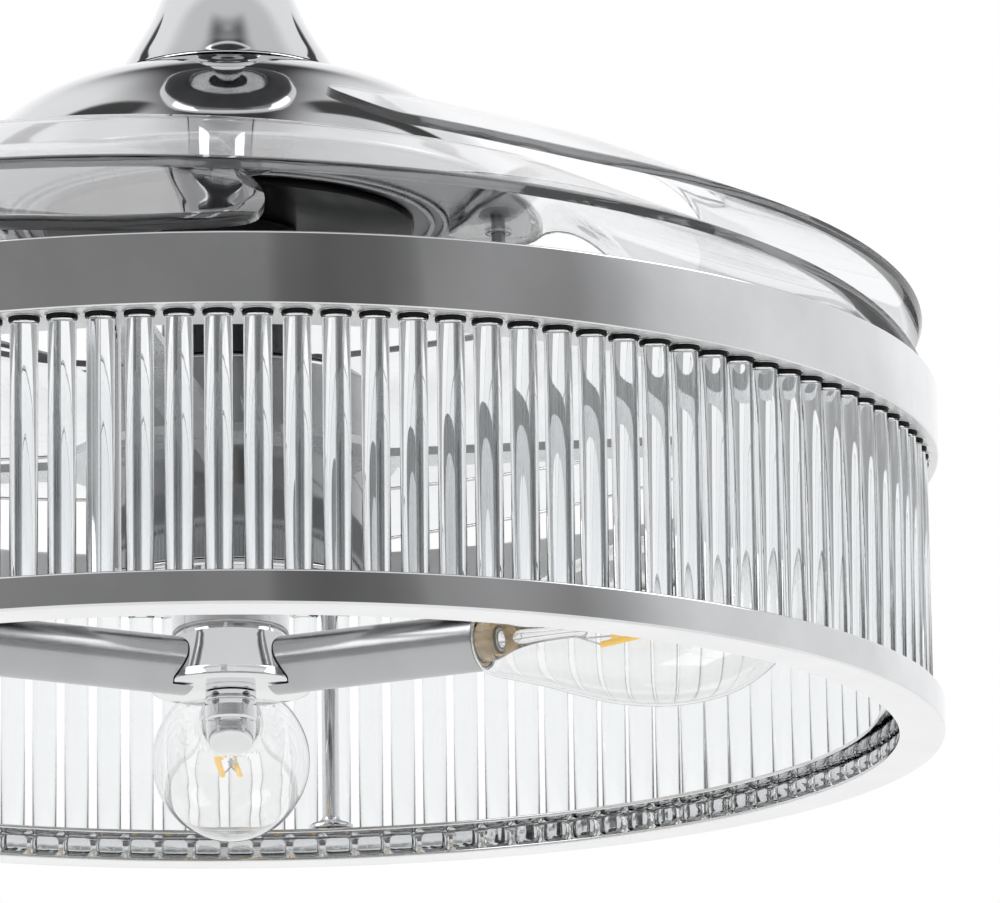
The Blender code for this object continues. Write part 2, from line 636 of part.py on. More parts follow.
def build_housing():
    """Lamp housing, its base, the shaft nut and the black neck above it."""
    inner = HOUSING_RADIUS - HOUSING_WALL
    ceiling = HOUSING_TOP - HOUSING_WALL
    housing = turned(((SHAFT_CLEAR_RADIUS, HOUSING_TOP), (HOUSING_RADIUS, HOUSING_TOP),
                      (HOUSING_RADIUS, HOUSING_BOTTOM), (inner, HOUSING_BOTTOM), (inner, ceiling),
                      (SHAFT_CLEAR_RADIUS, ceiling)), SIDES_LARGE)
    piece("light_housing", housing, CHROME)
    piece("housing_base", cylinder(HOUSING_RADIUS, BASE_BOTTOM, BASE_TOP, SIDES_LARGE), CHROME)
    nut_top = ceiling - SEAT_GAP
    nut_bottom = nut_top - SHAFT_NUT_HEIGHT
    nut_bore = cylinder(SHAFT_CLEAR_RADIUS, nut_bottom - CUT_OVERRUN, nut_top + CUT_OVERRUN, SIDES_SMALL)
    piece("shaft_nut", cut(cylinder(SHAFT_NUT_RADIUS, nut_bottom, nut_top, SIDES_HEX), [nut_bore]), STEEL)
    neck_bottom = HOUSING_TOP + SEAT_GAP
    neck_top = MIRROR_BOTTOM - RUN_GAP
    neck = tube(NECK_RADIUS - NECK_WALL, NECK_RADIUS, neck_bottom, neck_top, SIDES_SMALL)
    piece("neck_sleeve", neck, BLACK_PLASTIC)
    shaft_bottom = ceiling - SHAFT_TAIL
    shaft = tube(SHAFT_BORE_RADIUS, SHAFT_RADIUS, shaft_bottom, SHAFT_TOP, SIDES_SMALL)
    piece("motor_shaft", shaft, STEEL)


def hub_outline(clearance=0):
    """Outline of the lamp hub, grown by a clearance all round."""
    outline = [(across * HUB_SKIRT_RADIUS, HUB_TOP - down * HUB_HEIGHT) for across, down in HUB_OUTLINE_SHARES]
    grown = [(radius + clearance if radius else 0, height) for radius, height in outline]
    grown[0] = (0, HUB_TOP + clearance)
    grown[1] = (grown[1][0], HUB_TOP + clearance)
    grown[-2] = (grown[-2][0], HUB_BOTTOM - clearance)
    grown[-1] = (0, HUB_BOTTOM - clearance)
    return grown


def build_lamp_hub():
    """Turned hub with a stub for each lamp arm, and the finial below it."""
    body = turned(hub_outline(), SIDES_MEDIUM)
    stubs = []
    for heading_deg in LAMP_HEADINGS_DEG:
        stubs.append(pointing(cylinder(STUB_RADIUS, HUB_COLUMN_RADIUS / 2, STUB_REACH, SIDES_LAMP), heading_deg,
                              LAMP_HEIGHT))
    piece("lamp_hub", fuse(body, stubs), CHROME)
    top = HUB_BOTTOM - SEAT_GAP
    knob_top = top - FINIAL_NECK_HEIGHT
    knob = [(across * FINIAL_RADIUS, knob_top - down * FINIAL_KNOB_HEIGHT) for across, down in FINIAL_KNOB_SHARES]
    piece("finial", turned([(0, top), (FINIAL_RADIUS, top), (FINIAL_RADIUS, knob_top)] + knob, SIDES_SMALL), CHROME)


def build_lamps():
    """Sleeve, socket and bulb on each lamp arm."""
    stub_bore = STUB_RADIUS + FIT_GAP
    bore = SLEEVE_RADIUS - SLEEVE_WALL
    end = SLEEVE_END
    back = SLEEVE_START + SLEEVE_WALL
    sleeve = turned(((stub_bore, SADDLE_START), (SLEEVE_RADIUS, SADDLE_START), (SLEEVE_RADIUS, end), (bore, end),
                     (bore, back), (stub_bore, back)), SIDES_LAMP)
    saddle = turned(hub_outline(SADDLE_GAP), SIDES_MEDIUM)
    socket_radius = bore - FIT_GAP
    socket_bore = socket_radius - SOCKET_WALL
    socket = tube(socket_bore, socket_radius, end - SOCKET_LENGTH, end, SIDES_LAMP)
    cap_radius = socket_bore - FIT_GAP
    cap_end = end + SEAT_GAP
    glass = [(across * BULB_RADIUS, cap_end + along * BULB_LENGTH) for across, along in BULB_GLASS_SHARES]
    cap = [(0, cap_end - BULB_CAP_LENGTH), (cap_radius, cap_end - BULB_CAP_LENGTH), (cap_radius, cap_end)]
    bulb = turned(cap + glass, SIDES_LAMP)
    for number, heading_deg in enumerate(LAMP_HEADINGS_DEG, 1):
        fitted = cut(pointing(sleeve, heading_deg, LAMP_HEIGHT), [saddle])
        piece("lamp_sleeve_%d" % number, fitted, CHROME)
        piece("lamp_socket_%d" % number, pointing(socket, heading_deg, LAMP_HEIGHT), BRASS)
        piece("bulb_%d" % number, pointing(bulb, heading_deg, LAMP_HEIGHT), CLEAR_GLASS)


def pivot_copies(solid):
    """Copies of a solid, built on the axis, at every blade pivot."""
    placed = shifted(solid, PIVOT_CIRCLE, 0, 0)
    return [spun(placed, compass(heading_deg)) for heading_deg in BLADE_HEADINGS_DEG]


def build_plates():
    """Blade plate, mirror disc, spool and upper carrier of the turning part."""
    dome_inner = DOME_RADIUS - DOME_WALL
    hub_hole = cylinder(HUB_RADIUS + RUN_GAP, PLATE_BOTTOM - CUT_OVERRUN, PLATE_TOP + CUT_OVERRUN, SIDES_TINY)
    plate = tube(PLATE_BORE_RADIUS, dome_inner - PLATE_EDGE_GAP, PLATE_BOTTOM, PLATE_TOP, SIDES_LARGE)
    piece("blade_plate", cut(plate, [joined(pivot_copies(hub_hole))]), GREY_CAST)
    piece("mirror_disc", tube(MIRROR_BORE_RADIUS, MIRROR_RADIUS, MIRROR_BOTTOM, MIRROR_TOP, SIDES_LARGE), BLACK_MIRROR)
    inner = SPOOL_RADIUS - SPOOL_WALL
    lip = SPOOL_RADIUS + SPOOL_LIP
    spool = turned(((inner, SPOOL_BOTTOM), (SPOOL_RADIUS, SPOOL_BOTTOM), (SPOOL_RADIUS, SPOOL_LIP_BOTTOM),
                    (lip, SPOOL_LIP_BOTTOM), (lip, SPOOL_TOP), (inner, SPOOL_TOP)), SIDES_MEDIUM)
    piece("hub_spool", spool, GREY_CAST)
    carrier = tube(LID_BORE_RADIUS, CARRIER_RADIUS, CARRIER_BOTTOM, CARRIER_TOP, SIDES_MEDIUM)
    piece("blade_carrier", fuse(carrier, [joined(pivot_copies(pivot_bolt()))]), GREY_CAST)


def toothed_outline(root_radius, tip_radius, tooth_angles, plain_angles, root_half, tip_half):
    """Outline of a wheel that has teeth only at some angles, all in radians."""
    corners = [(angle, root_radius) for angle in plain_angles]
    for angle in tooth_angles:
        root_turn = root_half / root_radius
        tip_turn = tip_half / tip_radius
        corners += [(angle - root_turn, root_radius), (angle - tip_turn, tip_radius), (angle + tip_turn, tip_radius),
                    (angle + root_turn, root_radius)]
    corners.sort()
    return [(radius * math.cos(angle), radius * math.sin(angle)) for angle, radius in corners]


def tooth_half():
    """Half the thickness of a tooth at its pitch circle."""
    return GEAR_MODULE * math.pi / 4 - GEAR_BACKLASH / 2


def build_gears():
    """Gear on each blade and the toothed ring that turns them together."""
    addendum = GEAR_MODULE * ADDENDUM_SHARE
    dedendum = GEAR_MODULE * DEDENDUM_SHARE
    pinion_pitch = GEAR_MODULE * PINION_TEETH / 2
    pinion_step = math.tau / PINION_TEETH
    teeth = [math.pi - pinion_step * step for step in PINION_TOOTH_STEPS]
    plain = [math.pi - pinion_step * step for step in range(PINION_TEETH) if step not in PINION_TOOTH_STEPS
             and step - PINION_TEETH not in PINION_TOOTH_STEPS]
    outline = toothed_outline(pinion_pitch - dedendum, pinion_pitch + addendum, teeth, plain,
                              tooth_half() * PINION_ROOT_SHARE, tooth_half() * TOOTH_TIP_SHARE)
    hub_bottom = BLADE_BOTTOM
    wheel = prism(outline, GEAR_BOTTOM, GEAR_TOP)
    hub = cylinder(HUB_RADIUS, hub_bottom, GEAR_BOTTOM + GEAR_THICKNESS / 2, SIDES_HEX)
    bore_radius = clear_of(BOLT_RADIUS + FIT_GAP, SIDES_TINY)
    bore = cylinder(bore_radius, hub_bottom - CUT_OVERRUN, GEAR_TOP + CUT_OVERRUN, SIDES_TINY)
    gear = cut(fuse(wheel, [hub]), [bore])
    for number, solid in enumerate(pivot_copies(gear), 1):
        piece("blade_gear_%d" % number, solid, STEEL)
    ring_pitch = GEAR_MODULE * RING_TEETH / 2
    ring_step = math.tau / RING_TEETH
    ring_teeth = []
    ring_plain = []
    for heading_deg in BLADE_HEADINGS_DEG:
        base = compass(heading_deg) % math.tau
        ring_teeth += [base + ring_step * step for step in RING_TOOTH_STEPS]
        ring_plain += [base + ring_step * step for step in RING_PLAIN_STEPS]
    ring = toothed_outline(ring_pitch - dedendum, ring_pitch + addendum, ring_teeth, ring_plain,
                           tooth_half() * RING_ROOT_SHARE, tooth_half() * TOOTH_TIP_SHARE)
    wheel = prism(ring, GEAR_BOTTOM, GEAR_TOP)
    bore_radius = clear_of(SPOOL_RADIUS + RUN_GAP, SIDES_MEDIUM)
    ring_bore = cylinder(bore_radius, GEAR_BOTTOM - CUT_OVERRUN, GEAR_TOP + CUT_OVERRUN, SIDES_MEDIUM)
    piece("sync_ring", cut(wheel, [ring_bore]), STEEL)


def pivot_bolt():
    """Pivot bolt from its head under the blade up through the carrier."""
    head_bottom = BOLT_HEAD_TOP - BOLT_HEAD_HEIGHT
    top = CARRIER_TOP - CARRIER_THICKNESS / 2
    return turned(((0, head_bottom), (BOLT_HEAD_RADIUS, head_bottom), (BOLT_HEAD_RADIUS, BOLT_HEAD_TOP),
                   (BOLT_RADIUS, BOLT_HEAD_TOP), (BOLT_RADIUS, top), (0, top)), SIDES_HEX)


def build_spring():
    """Return spring round the first blade's pivot bolt."""
    rings = []
    count = SPRING_TURNS * SPRING_POINTS_PER_TURN
    start = BOLT_HEAD_TOP + SEAT_GAP + SPRING_WIRE_RADIUS
    for index in range(count + 1):
        angle = math.tau * index / SPRING_POINTS_PER_TURN
        height = start + SPRING_PITCH * index / SPRING_POINTS_PER_TURN
        ring = []
        for side in range(SPRING_WIRE_SIDES):
            turn = math.tau * side / SPRING_WIRE_SIDES
            reach = SPRING_RADIUS + SPRING_WIRE_RADIUS * math.cos(turn)
            ring.append((reach * math.cos(angle), reach * math.sin(angle),
                         height + SPRING_WIRE_RADIUS * math.sin(turn)))
        rings.append(ring)
    print("spring turns clear each other by", SPRING_PITCH - SPRING_WIRE_RADIUS * 2)
    piece("return_spring", pivot_copies(stacked(rings))[0], SPRING_STEEL)


def blade_point(share, angle_deg):
    """Point of a blade's outline in its own frame, from a share of the outer radius."""
    angle = math.radians(-angle_deg)
    return BLADE_OUTER_RADIUS * share * math.cos(angle), BLADE_OUTER_RADIUS * share * math.sin(angle)


def root_point(angle_deg):
    """Point on the round root of a blade in its own frame."""
    angle = math.radians(angle_deg)
    return PIVOT_CIRCLE + BLADE_ROOT_RADIUS * math.cos(angle), BLADE_ROOT_RADIUS * math.sin(angle)


def edge_height(angle_deg):
    """Height of a blade's outer edge over the drum's top edge."""
    for (first_deg, low), (second_deg, high) in zip(BLADE_EDGE_SHARES, BLADE_EDGE_SHARES[1:]):
        if angle_deg <= second_deg:
            share = (angle_deg - first_deg) / (second_deg - first_deg)
            return BLADE_EDGE_RISE * (low + (high - low) * share)
    return BLADE_EDGE_RISE


def blade_height(x, y):
    """Height of a blade's middle surface in its own frame."""
    angle_deg = -math.degrees(math.atan2(y, x))
    if angle_deg < -QUARTER_DEG:
        angle_deg += math.degrees(math.tau)
    sloped = DRUM_TOP + edge_height(angle_deg) + BLADE_SLOPE_SHARE * (BLADE_OUTER_RADIUS - math.hypot(x, y))
    reach = math.hypot(x - PIVOT_CIRCLE, y) - BLADE_FLAT_REACH
    share = min(max(reach / (BLADE_BLEND_REACH - BLADE_FLAT_REACH), 0), 1)
    blend = share * share * (3 - 2 * share)
    lead = min(max((1 + (BLADE_LEVEL - sloped) / BLADE_CAP_BLEND) / 2, 0), 1)
    capped = BLADE_LEVEL + (sloped - BLADE_LEVEL) * lead - BLADE_CAP_BLEND * lead * (1 - lead)
    return BLADE_LEVEL * (1 - blend) + capped * blend


def blade_solid():
    """Clear blade, skinned between its heel and outer edge and its inner edge."""
    outer = [root_point(angle_deg) for angle_deg in BLADE_HEEL_SIDE_DEG[1:]]
    outer += [blade_point(*share) for share in BLADE_OUTER_SHARES]
    inner = [root_point(angle_deg) for angle_deg in BLADE_INNER_SIDE_DEG[1:]]
    inner += [blade_point(*share) for share in BLADE_INNER_SHARES]
    start = root_point(BLADE_HEEL_SIDE_DEG[0])
    tip = blade_point(*BLADE_TIP_SHARE)
    half = BLADE_THICKNESS / 2
    loop = [start] + outer + [tip] + inner[::-1]
    count = len(loop)
    vertices = [(x, y, blade_height(x, y) - half) for x, y in loop]
    vertices += [(x, y, blade_height(x, y) + half) for x, y in loop]
    last = len(outer)
    strips = [(0, 1, count - 1)]
    for step in range(1, last):
        strips.append((step, step + 1, count - step - 1))
        strips.append((step, count - step - 1, count - step))
    strips.append((last, last + 1, last + 2))
    faces = list(strips)
    faces += [tuple(count + index for index in reversed(strip)) for strip in strips]
    for step in range(count):
        after = (step + 1) % count
        faces.append((step, after, count + after, count + step))
    return vertices, faces


def build_blades():
    """Four clear blades folded over the drum."""
    hole = cylinder(HUB_RADIUS + FIT_GAP, BLADE_BOTTOM - CUT_OVERRUN, BLADE_TOP + CUT_OVERRUN, SIDES_HEX)
    blade = cut(blade_solid(), [shifted(hole, PIVOT_CIRCLE, 0, 0)])
    for number, heading_deg in enumerate(BLADE_HEADINGS_DEG, 1):
        piece("blade_%d" % number, spun(blade, compass(heading_deg)), CLEAR_ACRYLIC)


def build_dome():
    """Chrome dome and the ring nut that holds it on the motor lid."""
    hole = LID_TUBE_RADIUS + FIT_GAP
    outer = [(hole, DOME_TOP)] + scaled_outline(DOME_OUTLINE_SHARES, DOME_RADIUS, DOME_HEIGHT, DOME_BOTTOM)
    inner = inner_wall(outer, DOME_WALL)
    inner[0] = (hole, DOME_TOP - DOME_WALL)
    inner[-1] = (DOME_RADIUS - DOME_WALL, DOME_BOTTOM)
    piece("dome_cover", turned(outer + inner[::-1], SIDES_LARGE), CHROME)
    nut_bottom = DOME_TOP + SEAT_GAP
    nut = tube(hole, hole + DOME_NUT_WIDTH, nut_bottom, nut_bottom + DOME_NUT_HEIGHT, SIDES_MEDIUM)
    piece("dome_nut", nut, STEEL)


def build_motor():
    """Turning shell, lid, magnets and bearings round the fixed stator."""
    cup_inner = MOTOR_RADIUS - MOTOR_CUP_WALL
    piece("motor_cup", tube(cup_inner, MOTOR_RADIUS, CUP_BOTTOM, CUP_TOP, SIDES_MEDIUM), GREY_CAST)
    lid = turned(((LID_BORE_RADIUS, LID_BOTTOM), (MOTOR_RADIUS, LID_BOTTOM), (MOTOR_RADIUS, LID_TOP),
                  (LID_SHOULDER_RADIUS, LID_TOP), (LID_SHOULDER_RADIUS, LID_SHOULDER_TOP),
                  (LID_TUBE_RADIUS, LID_SHOULDER_TOP), (LID_TUBE_RADIUS, LID_TUBE_TOP),
                  (LID_BORE_RADIUS, LID_TUBE_TOP)), SIDES_MEDIUM)
    piece("motor_lid", lid, GREY_CAST)
    magnet_outer = cup_inner - FIT_GAP
    magnet_inner = magnet_outer - MAGNET_WALL
    middle = (CUP_BOTTOM + CUP_TOP) / 2
    magnet = tube(magnet_inner, magnet_outer, middle - MAGNET_HEIGHT / 2, middle + MAGNET_HEIGHT / 2, SIDES_MEDIUM)
    piece("magnet_ring", magnet, BLACK_PLASTIC)
    upper = tube(BEARING_BORE_RADIUS, BEARING_RADIUS, UPPER_BEARING_BOTTOM, UPPER_BEARING_TOP, SIDES_SMALL)
    piece("upper_bearing", upper, STEEL)
    lower_middle = (CARRIER_BOTTOM + CARRIER_TOP) / 2
    half = BEARING_HEIGHT / 2
    lower = tube(BEARING_BORE_RADIUS, BEARING_RADIUS, lower_middle - half, lower_middle + half, SIDES_SMALL)
    piece("lower_bearing", lower, STEEL)
    build_stator(magnet_inner * math.cos(math.pi / SIDES_MEDIUM) - AIR_GAP, middle)


def build_stator(radius, middle):
    """Laminated core with a winding on each pole."""
    shoe_inner = radius - SHOE_DEPTH
    half = POLE_WIDTH / 2
    step = math.tau / POLE_COUNT
    outline = []
    for index in range(POLE_COUNT):
        base = step * index
        root = math.sqrt(STATOR_HUB_RADIUS ** 2 - half ** 2)
        neck = math.sqrt(shoe_inner ** 2 - half ** 2)
        shoe = math.radians(SHOE_HALF_DEG)
        points = [(root, -half), (neck, -half)]
        points += [(radius * math.cos(turn), radius * math.sin(turn)) for turn in (-shoe, 0, shoe)]
        points += [(neck, half), (root, half)]
        for x, y in points:
            outline.append((x * math.cos(base) - y * math.sin(base), x * math.sin(base) + y * math.cos(base)))
    low = middle - STATOR_HEIGHT / 2
    high = middle + STATOR_HEIGHT / 2
    bore = cylinder(SHAFT_CLEAR_RADIUS, low - CUT_OVERRUN, high + CUT_OVERRUN, SIDES_SMALL)
    outer = half + COIL_THICKNESS
    start = STATOR_HUB_RADIUS + COIL_END_GAP + COIL_THICKNESS
    end = shoe_inner * math.cos(math.radians(SHOE_HALF_DEG)) - COIL_END_GAP
    body = block(start, end, -outer, outer, low - COIL_THICKNESS, high + COIL_THICKNESS)
    coils = joined([spun(body, step * index) for index in range(POLE_COUNT)])
    piece("stator", cut(fuse(prism(outline, low, high), [coils]), [bore]), STEEL)


def build_coupling():
    """Yoke on the shaft, its pin and clip, and the trumpet cover with its grommet."""
    rod_bore = DOWNROD_RADIUS + FIT_GAP
    web_bottom = YOKE_BOTTOM + YOKE_SOCKET_DEPTH
    yoke = turned(((SHAFT_CLEAR_RADIUS, YOKE_BOTTOM), (YOKE_RADIUS, YOKE_BOTTOM), (YOKE_RADIUS, YOKE_TOP),
                   (rod_bore, YOKE_TOP), (rod_bore, ROD_SOCKET_BOTTOM), (YOKE_WIRE_RADIUS, ROD_SOCKET_BOTTOM),
                   (YOKE_WIRE_RADIUS, web_bottom), (SHAFT_CLEAR_RADIUS, web_bottom)), SIDES_SMALL,
                  flat_phase_deg(SIDES_SMALL))
    reach = YOKE_RADIUS + CUT_OVERRUN
    hole = pointing(cylinder(YOKE_PIN_RADIUS + FIT_GAP, -reach, reach, SIDES_HEX), QUARTER_DEG, YOKE_PIN_HEIGHT)
    piece("motor_yoke", cut(yoke, [hole]), STEEL)
    head_start = YOKE_RADIUS + SEAT_GAP
    tail = YOKE_RADIUS + SEAT_GAP + CLIP_THICKNESS + PIN_TAIL
    pin = turned(((0, -tail), (YOKE_PIN_RADIUS, -tail), (YOKE_PIN_RADIUS, head_start),
                  (YOKE_PIN_HEAD_RADIUS, head_start), (YOKE_PIN_HEAD_RADIUS, head_start + YOKE_PIN_HEAD),
                  (0, head_start + YOKE_PIN_HEAD)), SIDES_HEX)
    piece("yoke_pin", pointing(pin, QUARTER_DEG, YOKE_PIN_HEIGHT), STEEL)
    clip = tube(YOKE_PIN_RADIUS + FIT_GAP, CLIP_RADIUS, -head_start - CLIP_THICKNESS, -head_start, SIDES_HEX)
    piece("yoke_clip", pointing(clip, QUARTER_DEG, YOKE_PIN_HEIGHT), SPRING_STEEL)
    outer = scaled_outline(COVER_OUTLINE_SHARES, COVER_RADIUS, COVER_HEIGHT, COVER_BOTTOM)
    inner = inner_wall(outer, COVER_WALL)
    inner[0] = (inner[0][0], COVER_TOP)
    inner[-1] = (inner[-1][0], COVER_BOTTOM)
    piece("coupling_cover", turned(outer + inner[::-1], SIDES_MEDIUM), CHROME)
    grommet_bottom = COVER_TOP + SEAT_GAP
    grommet = tube(rod_bore, rod_bore + GROMMET_WIDTH, grommet_bottom, grommet_bottom + GROMMET_HEIGHT, SIDES_SMALL,
                   flat_phase_deg(SIDES_SMALL))
    piece("cover_grommet", grommet, BLACK_PLASTIC)


def build_downrod():
    """Downrod, hanger ball and the pin through both."""
    reach = BALL_RADIUS + CUT_OVERRUN
    ball_hole = pointing(cylinder(BALL_PIN_RADIUS + FIT_GAP, -reach, reach, SIDES_HEX), QUARTER_DEG, -BALL_DROP)
    yoke_hole = pointing(cylinder(YOKE_PIN_RADIUS + FIT_GAP, -reach, reach, SIDES_HEX), QUARTER_DEG, YOKE_PIN_HEIGHT)
    rod = tube(DOWNROD_RADIUS - DOWNROD_WALL, DOWNROD_RADIUS, DOWNROD_BOTTOM, DOWNROD_TOP, SIDES_SMALL,
               flat_phase_deg(SIDES_SMALL))
    piece("downrod", cut(rod, [ball_hole, yoke_hole]), CHROME)
    bore = DOWNROD_RADIUS + FIT_GAP
    outline = []
    for band_deg in BALL_BAND_DEG:
        angle = math.radians(band_deg)
        outline.append((BALL_RADIUS * math.cos(angle), BALL_RADIUS * math.sin(angle) - BALL_DROP))
    outline.append((bore, outline[-1][1]))
    outline.append((bore, outline[0][1]))
    outline[0] = (max(outline[0][0], bore + FIT_GAP), outline[0][1])
    piece("hanger_ball", cut(turned(outline, SIDES_SMALL, flat_phase_deg(SIDES_SMALL)), [ball_hole]), BLACK_PLASTIC)
    half = math.sqrt(BALL_RADIUS ** 2 - BALL_PIN_RADIUS ** 2) - SEAT_GAP * 2
    piece("ball_pin", pointing(cylinder(BALL_PIN_RADIUS, -half, half, SIDES_HEX), QUARTER_DEG, -BALL_DROP), STEEL)


def build_bracket():
    """Ceiling bracket: plate, two legs, ball seat and two ears in one piece."""
    half_width = BRACKET_WIDTH / 2
    leg_inner = half_width - BRACKET_THICKNESS
    half_leg = LEG_WIDTH / 2
    half_ear = EAR_WIDTH / 2
    ear_inner = BRACKET_HALF_LENGTH - EAR_THICKNESS
    sink = BRACKET_THICKNESS / 2
    plate = block(-BRACKET_HALF_LENGTH, BRACKET_HALF_LENGTH, -half_ear, half_ear, BRACKET_BOTTOM, 0)
    wide = block(-PLATE_HALF_LENGTH, PLATE_HALF_LENGTH, -half_width, half_width, BRACKET_BOTTOM, 0)
    seat_hole = math.sqrt(BALL_RADIUS ** 2 - (BALL_SEAT_DROP - BALL_DROP) ** 2) + FIT_GAP * 2
    seat = cylinder(BALL_SEAT_RADIUS, BALL_SEAT_BOTTOM, BALL_SEAT_TOP, SIDES_MEDIUM)
    tools = [wide, seat]
    for side in (-1, 1):
        faces = sorted((side * leg_inner, side * half_width))
        tools.append(block(-half_leg, half_leg, faces[0], faces[1], BALL_SEAT_TOP - sink, -sink))
        faces = sorted((side * ear_inner, side * BRACKET_HALF_LENGTH))
        tools.append(block(faces[0], faces[1], -half_ear, half_ear, BRACKET_BOTTOM - EAR_HEIGHT, -sink))
    screw_level = -CANOPY_SCREW_DROP
    reach = CANOPY_RADIUS + CUT_OVERRUN
    screw_hole = pointing(cylinder(CANOPY_SCREW_RADIUS + FIT_GAP, -reach, reach, SIDES_HEX), QUARTER_DEG, screw_level)
    hole = cylinder(seat_hole, BALL_SEAT_BOTTOM - CUT_OVERRUN, BALL_SEAT_TOP + CUT_OVERRUN, SIDES_MEDIUM)
    piece("hanger_bracket", cut(fuse(plate, tools), [hole, screw_hole]), STEEL)
    build_canopy(screw_hole, ear_inner, screw_level)


def build_canopy(screw_hole, ear_inner, screw_level):
    """Canopy shell, its two screws and the receiver box inside."""
    outer = [(across * CANOPY_RADIUS, CANOPY_TOP - down * CANOPY_HEIGHT) for across, down in CANOPY_OUTLINE_SHARES]
    inner = inner_wall(outer, CANOPY_WALL)
    inner[0] = (CANOPY_RADIUS - CANOPY_WALL, CANOPY_TOP)
    inner[-1] = (outer[-1][0], outer[-1][1] + CANOPY_WALL)
    piece("canopy", cut(turned(outer + inner[::-1], SIDES_MEDIUM, flat_phase_deg(SIDES_MEDIUM)), [screw_hole]), CHROME)
    head = CANOPY_RADIUS + SEAT_GAP
    start = ear_inner - CUT_OVERRUN / 2
    screw = turned(((0, start), (CANOPY_SCREW_RADIUS, start), (CANOPY_SCREW_RADIUS, head),
                    (CANOPY_SCREW_HEAD_RADIUS, head), (CANOPY_SCREW_HEAD_RADIUS, head + CANOPY_SCREW_HEAD),
                    (0, head + CANOPY_SCREW_HEAD)), SIDES_HEX)
    for number, heading_deg in enumerate((QUARTER_DEG, -QUARTER_DEG), 1):
        piece("canopy_screw_%d" % number, pointing(screw, heading_deg, screw_level), CHROME)
    half_length = RECEIVER_LENGTH / 2
    half_width = RECEIVER_WIDTH / 2
    box = block(-half_length, half_length, -half_width, half_width, RECEIVER_TOP - RECEIVER_HEIGHT, RECEIVER_TOP)
    piece("receiver", box, WHITE_PLASTIC)


def main():
    """Build every piece, from the ceiling down."""
    clear_scene()
    build_bracket()
    build_downrod()
    build_coupling()
    build_dome()
    build_motor()
    build_plates()
    build_gears()
    build_spring()
    build_blades()
    build_housing()
    build_spider()
    build_rings()
    build_rods()
    build_posts()
    build_lamp_hub()
    build_lamps()
    total = 0
    for item in bpy.data.objects:
        item.data.calc_loop_triangles()
        total += len(item.data.loop_triangles)
    print("triangles in all", total, "objects", len(bpy.data.objects))


main()
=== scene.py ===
"""Looks of a ceiling fan: a drum of clear rods with lamps inside, under a bright dome and four folded clear blades.

Metres, +Z up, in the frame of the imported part: the origin is the ceiling face and the front is -Y.
A heading is an angle in degrees from the front towards the right (+X).
A name that ends in _mm holds millimetres, and where it names a level, they count from the drum's top edge.
"""

import json
import logging
import math
from collections.abc import Callable, Sequence
from dataclasses import dataclass, field
from enum import Enum

import bmesh
import bpy
from mathutils import Matrix, Vector

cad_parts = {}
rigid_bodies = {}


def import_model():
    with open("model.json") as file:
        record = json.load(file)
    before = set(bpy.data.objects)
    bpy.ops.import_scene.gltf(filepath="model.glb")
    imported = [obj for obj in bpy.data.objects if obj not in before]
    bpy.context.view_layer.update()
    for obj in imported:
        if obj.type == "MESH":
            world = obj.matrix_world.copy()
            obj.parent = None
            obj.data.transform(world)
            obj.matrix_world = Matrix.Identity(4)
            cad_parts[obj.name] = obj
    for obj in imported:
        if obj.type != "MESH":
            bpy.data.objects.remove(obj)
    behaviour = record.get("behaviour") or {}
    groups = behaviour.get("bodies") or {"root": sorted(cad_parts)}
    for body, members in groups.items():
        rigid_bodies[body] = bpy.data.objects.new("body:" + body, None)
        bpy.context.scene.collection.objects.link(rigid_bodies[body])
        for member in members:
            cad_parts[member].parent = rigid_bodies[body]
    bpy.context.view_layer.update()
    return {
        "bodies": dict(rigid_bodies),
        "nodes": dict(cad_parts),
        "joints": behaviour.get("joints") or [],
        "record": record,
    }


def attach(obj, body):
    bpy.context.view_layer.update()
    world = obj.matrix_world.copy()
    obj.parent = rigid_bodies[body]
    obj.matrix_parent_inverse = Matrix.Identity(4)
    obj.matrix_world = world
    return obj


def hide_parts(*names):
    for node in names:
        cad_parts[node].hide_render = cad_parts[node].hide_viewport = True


LOG = logging.getLogger("fan")
DRUM_TOP = -0.375
FRONT_DEG = -90.0
BLADE_PIVOT = 0.096
BLADE_HEADINGS_DEG = (180.0, 90.0, 0.0, -90.0)
SEAT_GAP = 0.0003
AXIS_REACH = 1e-7
MIX_FIRST, MIX_SECOND, MIX_RESULT = 6, 7, 2
UPRIGHT_STRETCH = (1.0, 1.0, 0.04)
ROUND_SKEW = 0.3
CLOUD_DETAIL, FINE_DETAIL = 4.0, 3.0
CLOUD_SPAN = (0.3, 0.7)
BUMP_STRENGTH = 0.6
NO_SOFTENING = (0.0, 0.0, 0.0, 0.0)
SOFTEN_LIMIT = 0.48

Pair = tuple[float, float]
Point = tuple[float, float, float]
Colour = tuple[float, float, float]
Outline = list[Pair]
# Points as shares of a radius and of a height, or other rows of two numbers.
Shares = tuple[Pair, ...]
# Vertices and faces.
Solid = tuple[list[Point], list[tuple[int, ...]]]


class Body(Enum):
    """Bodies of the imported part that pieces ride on."""

    CEILING = "ceiling_side"
    HANGING = "hanging"
    ROTOR = "rotor"
    BLADE_1 = "blade_arm_1"
    BLADE_2 = "blade_arm_2"
    BLADE_3 = "blade_arm_3"
    BLADE_4 = "blade_arm_4"


class Grain(Enum):
    """How the fine marks of a surface run."""

    CLOUD = "cloud"
    ROUND = "round"
    UPRIGHT = "upright"


def height(above_drum_mm: float) -> float:
    """World height of a level given in millimetres over the drum's top edge."""
    return DRUM_TOP + above_drum_mm / 1000.0


def step_up(value: float) -> float:
    """Smooth step from 0 to 1 between 0 and 1."""
    share = min(max(value, 0.0), 1.0)
    return share * share * (3.0 - 2.0 * share)


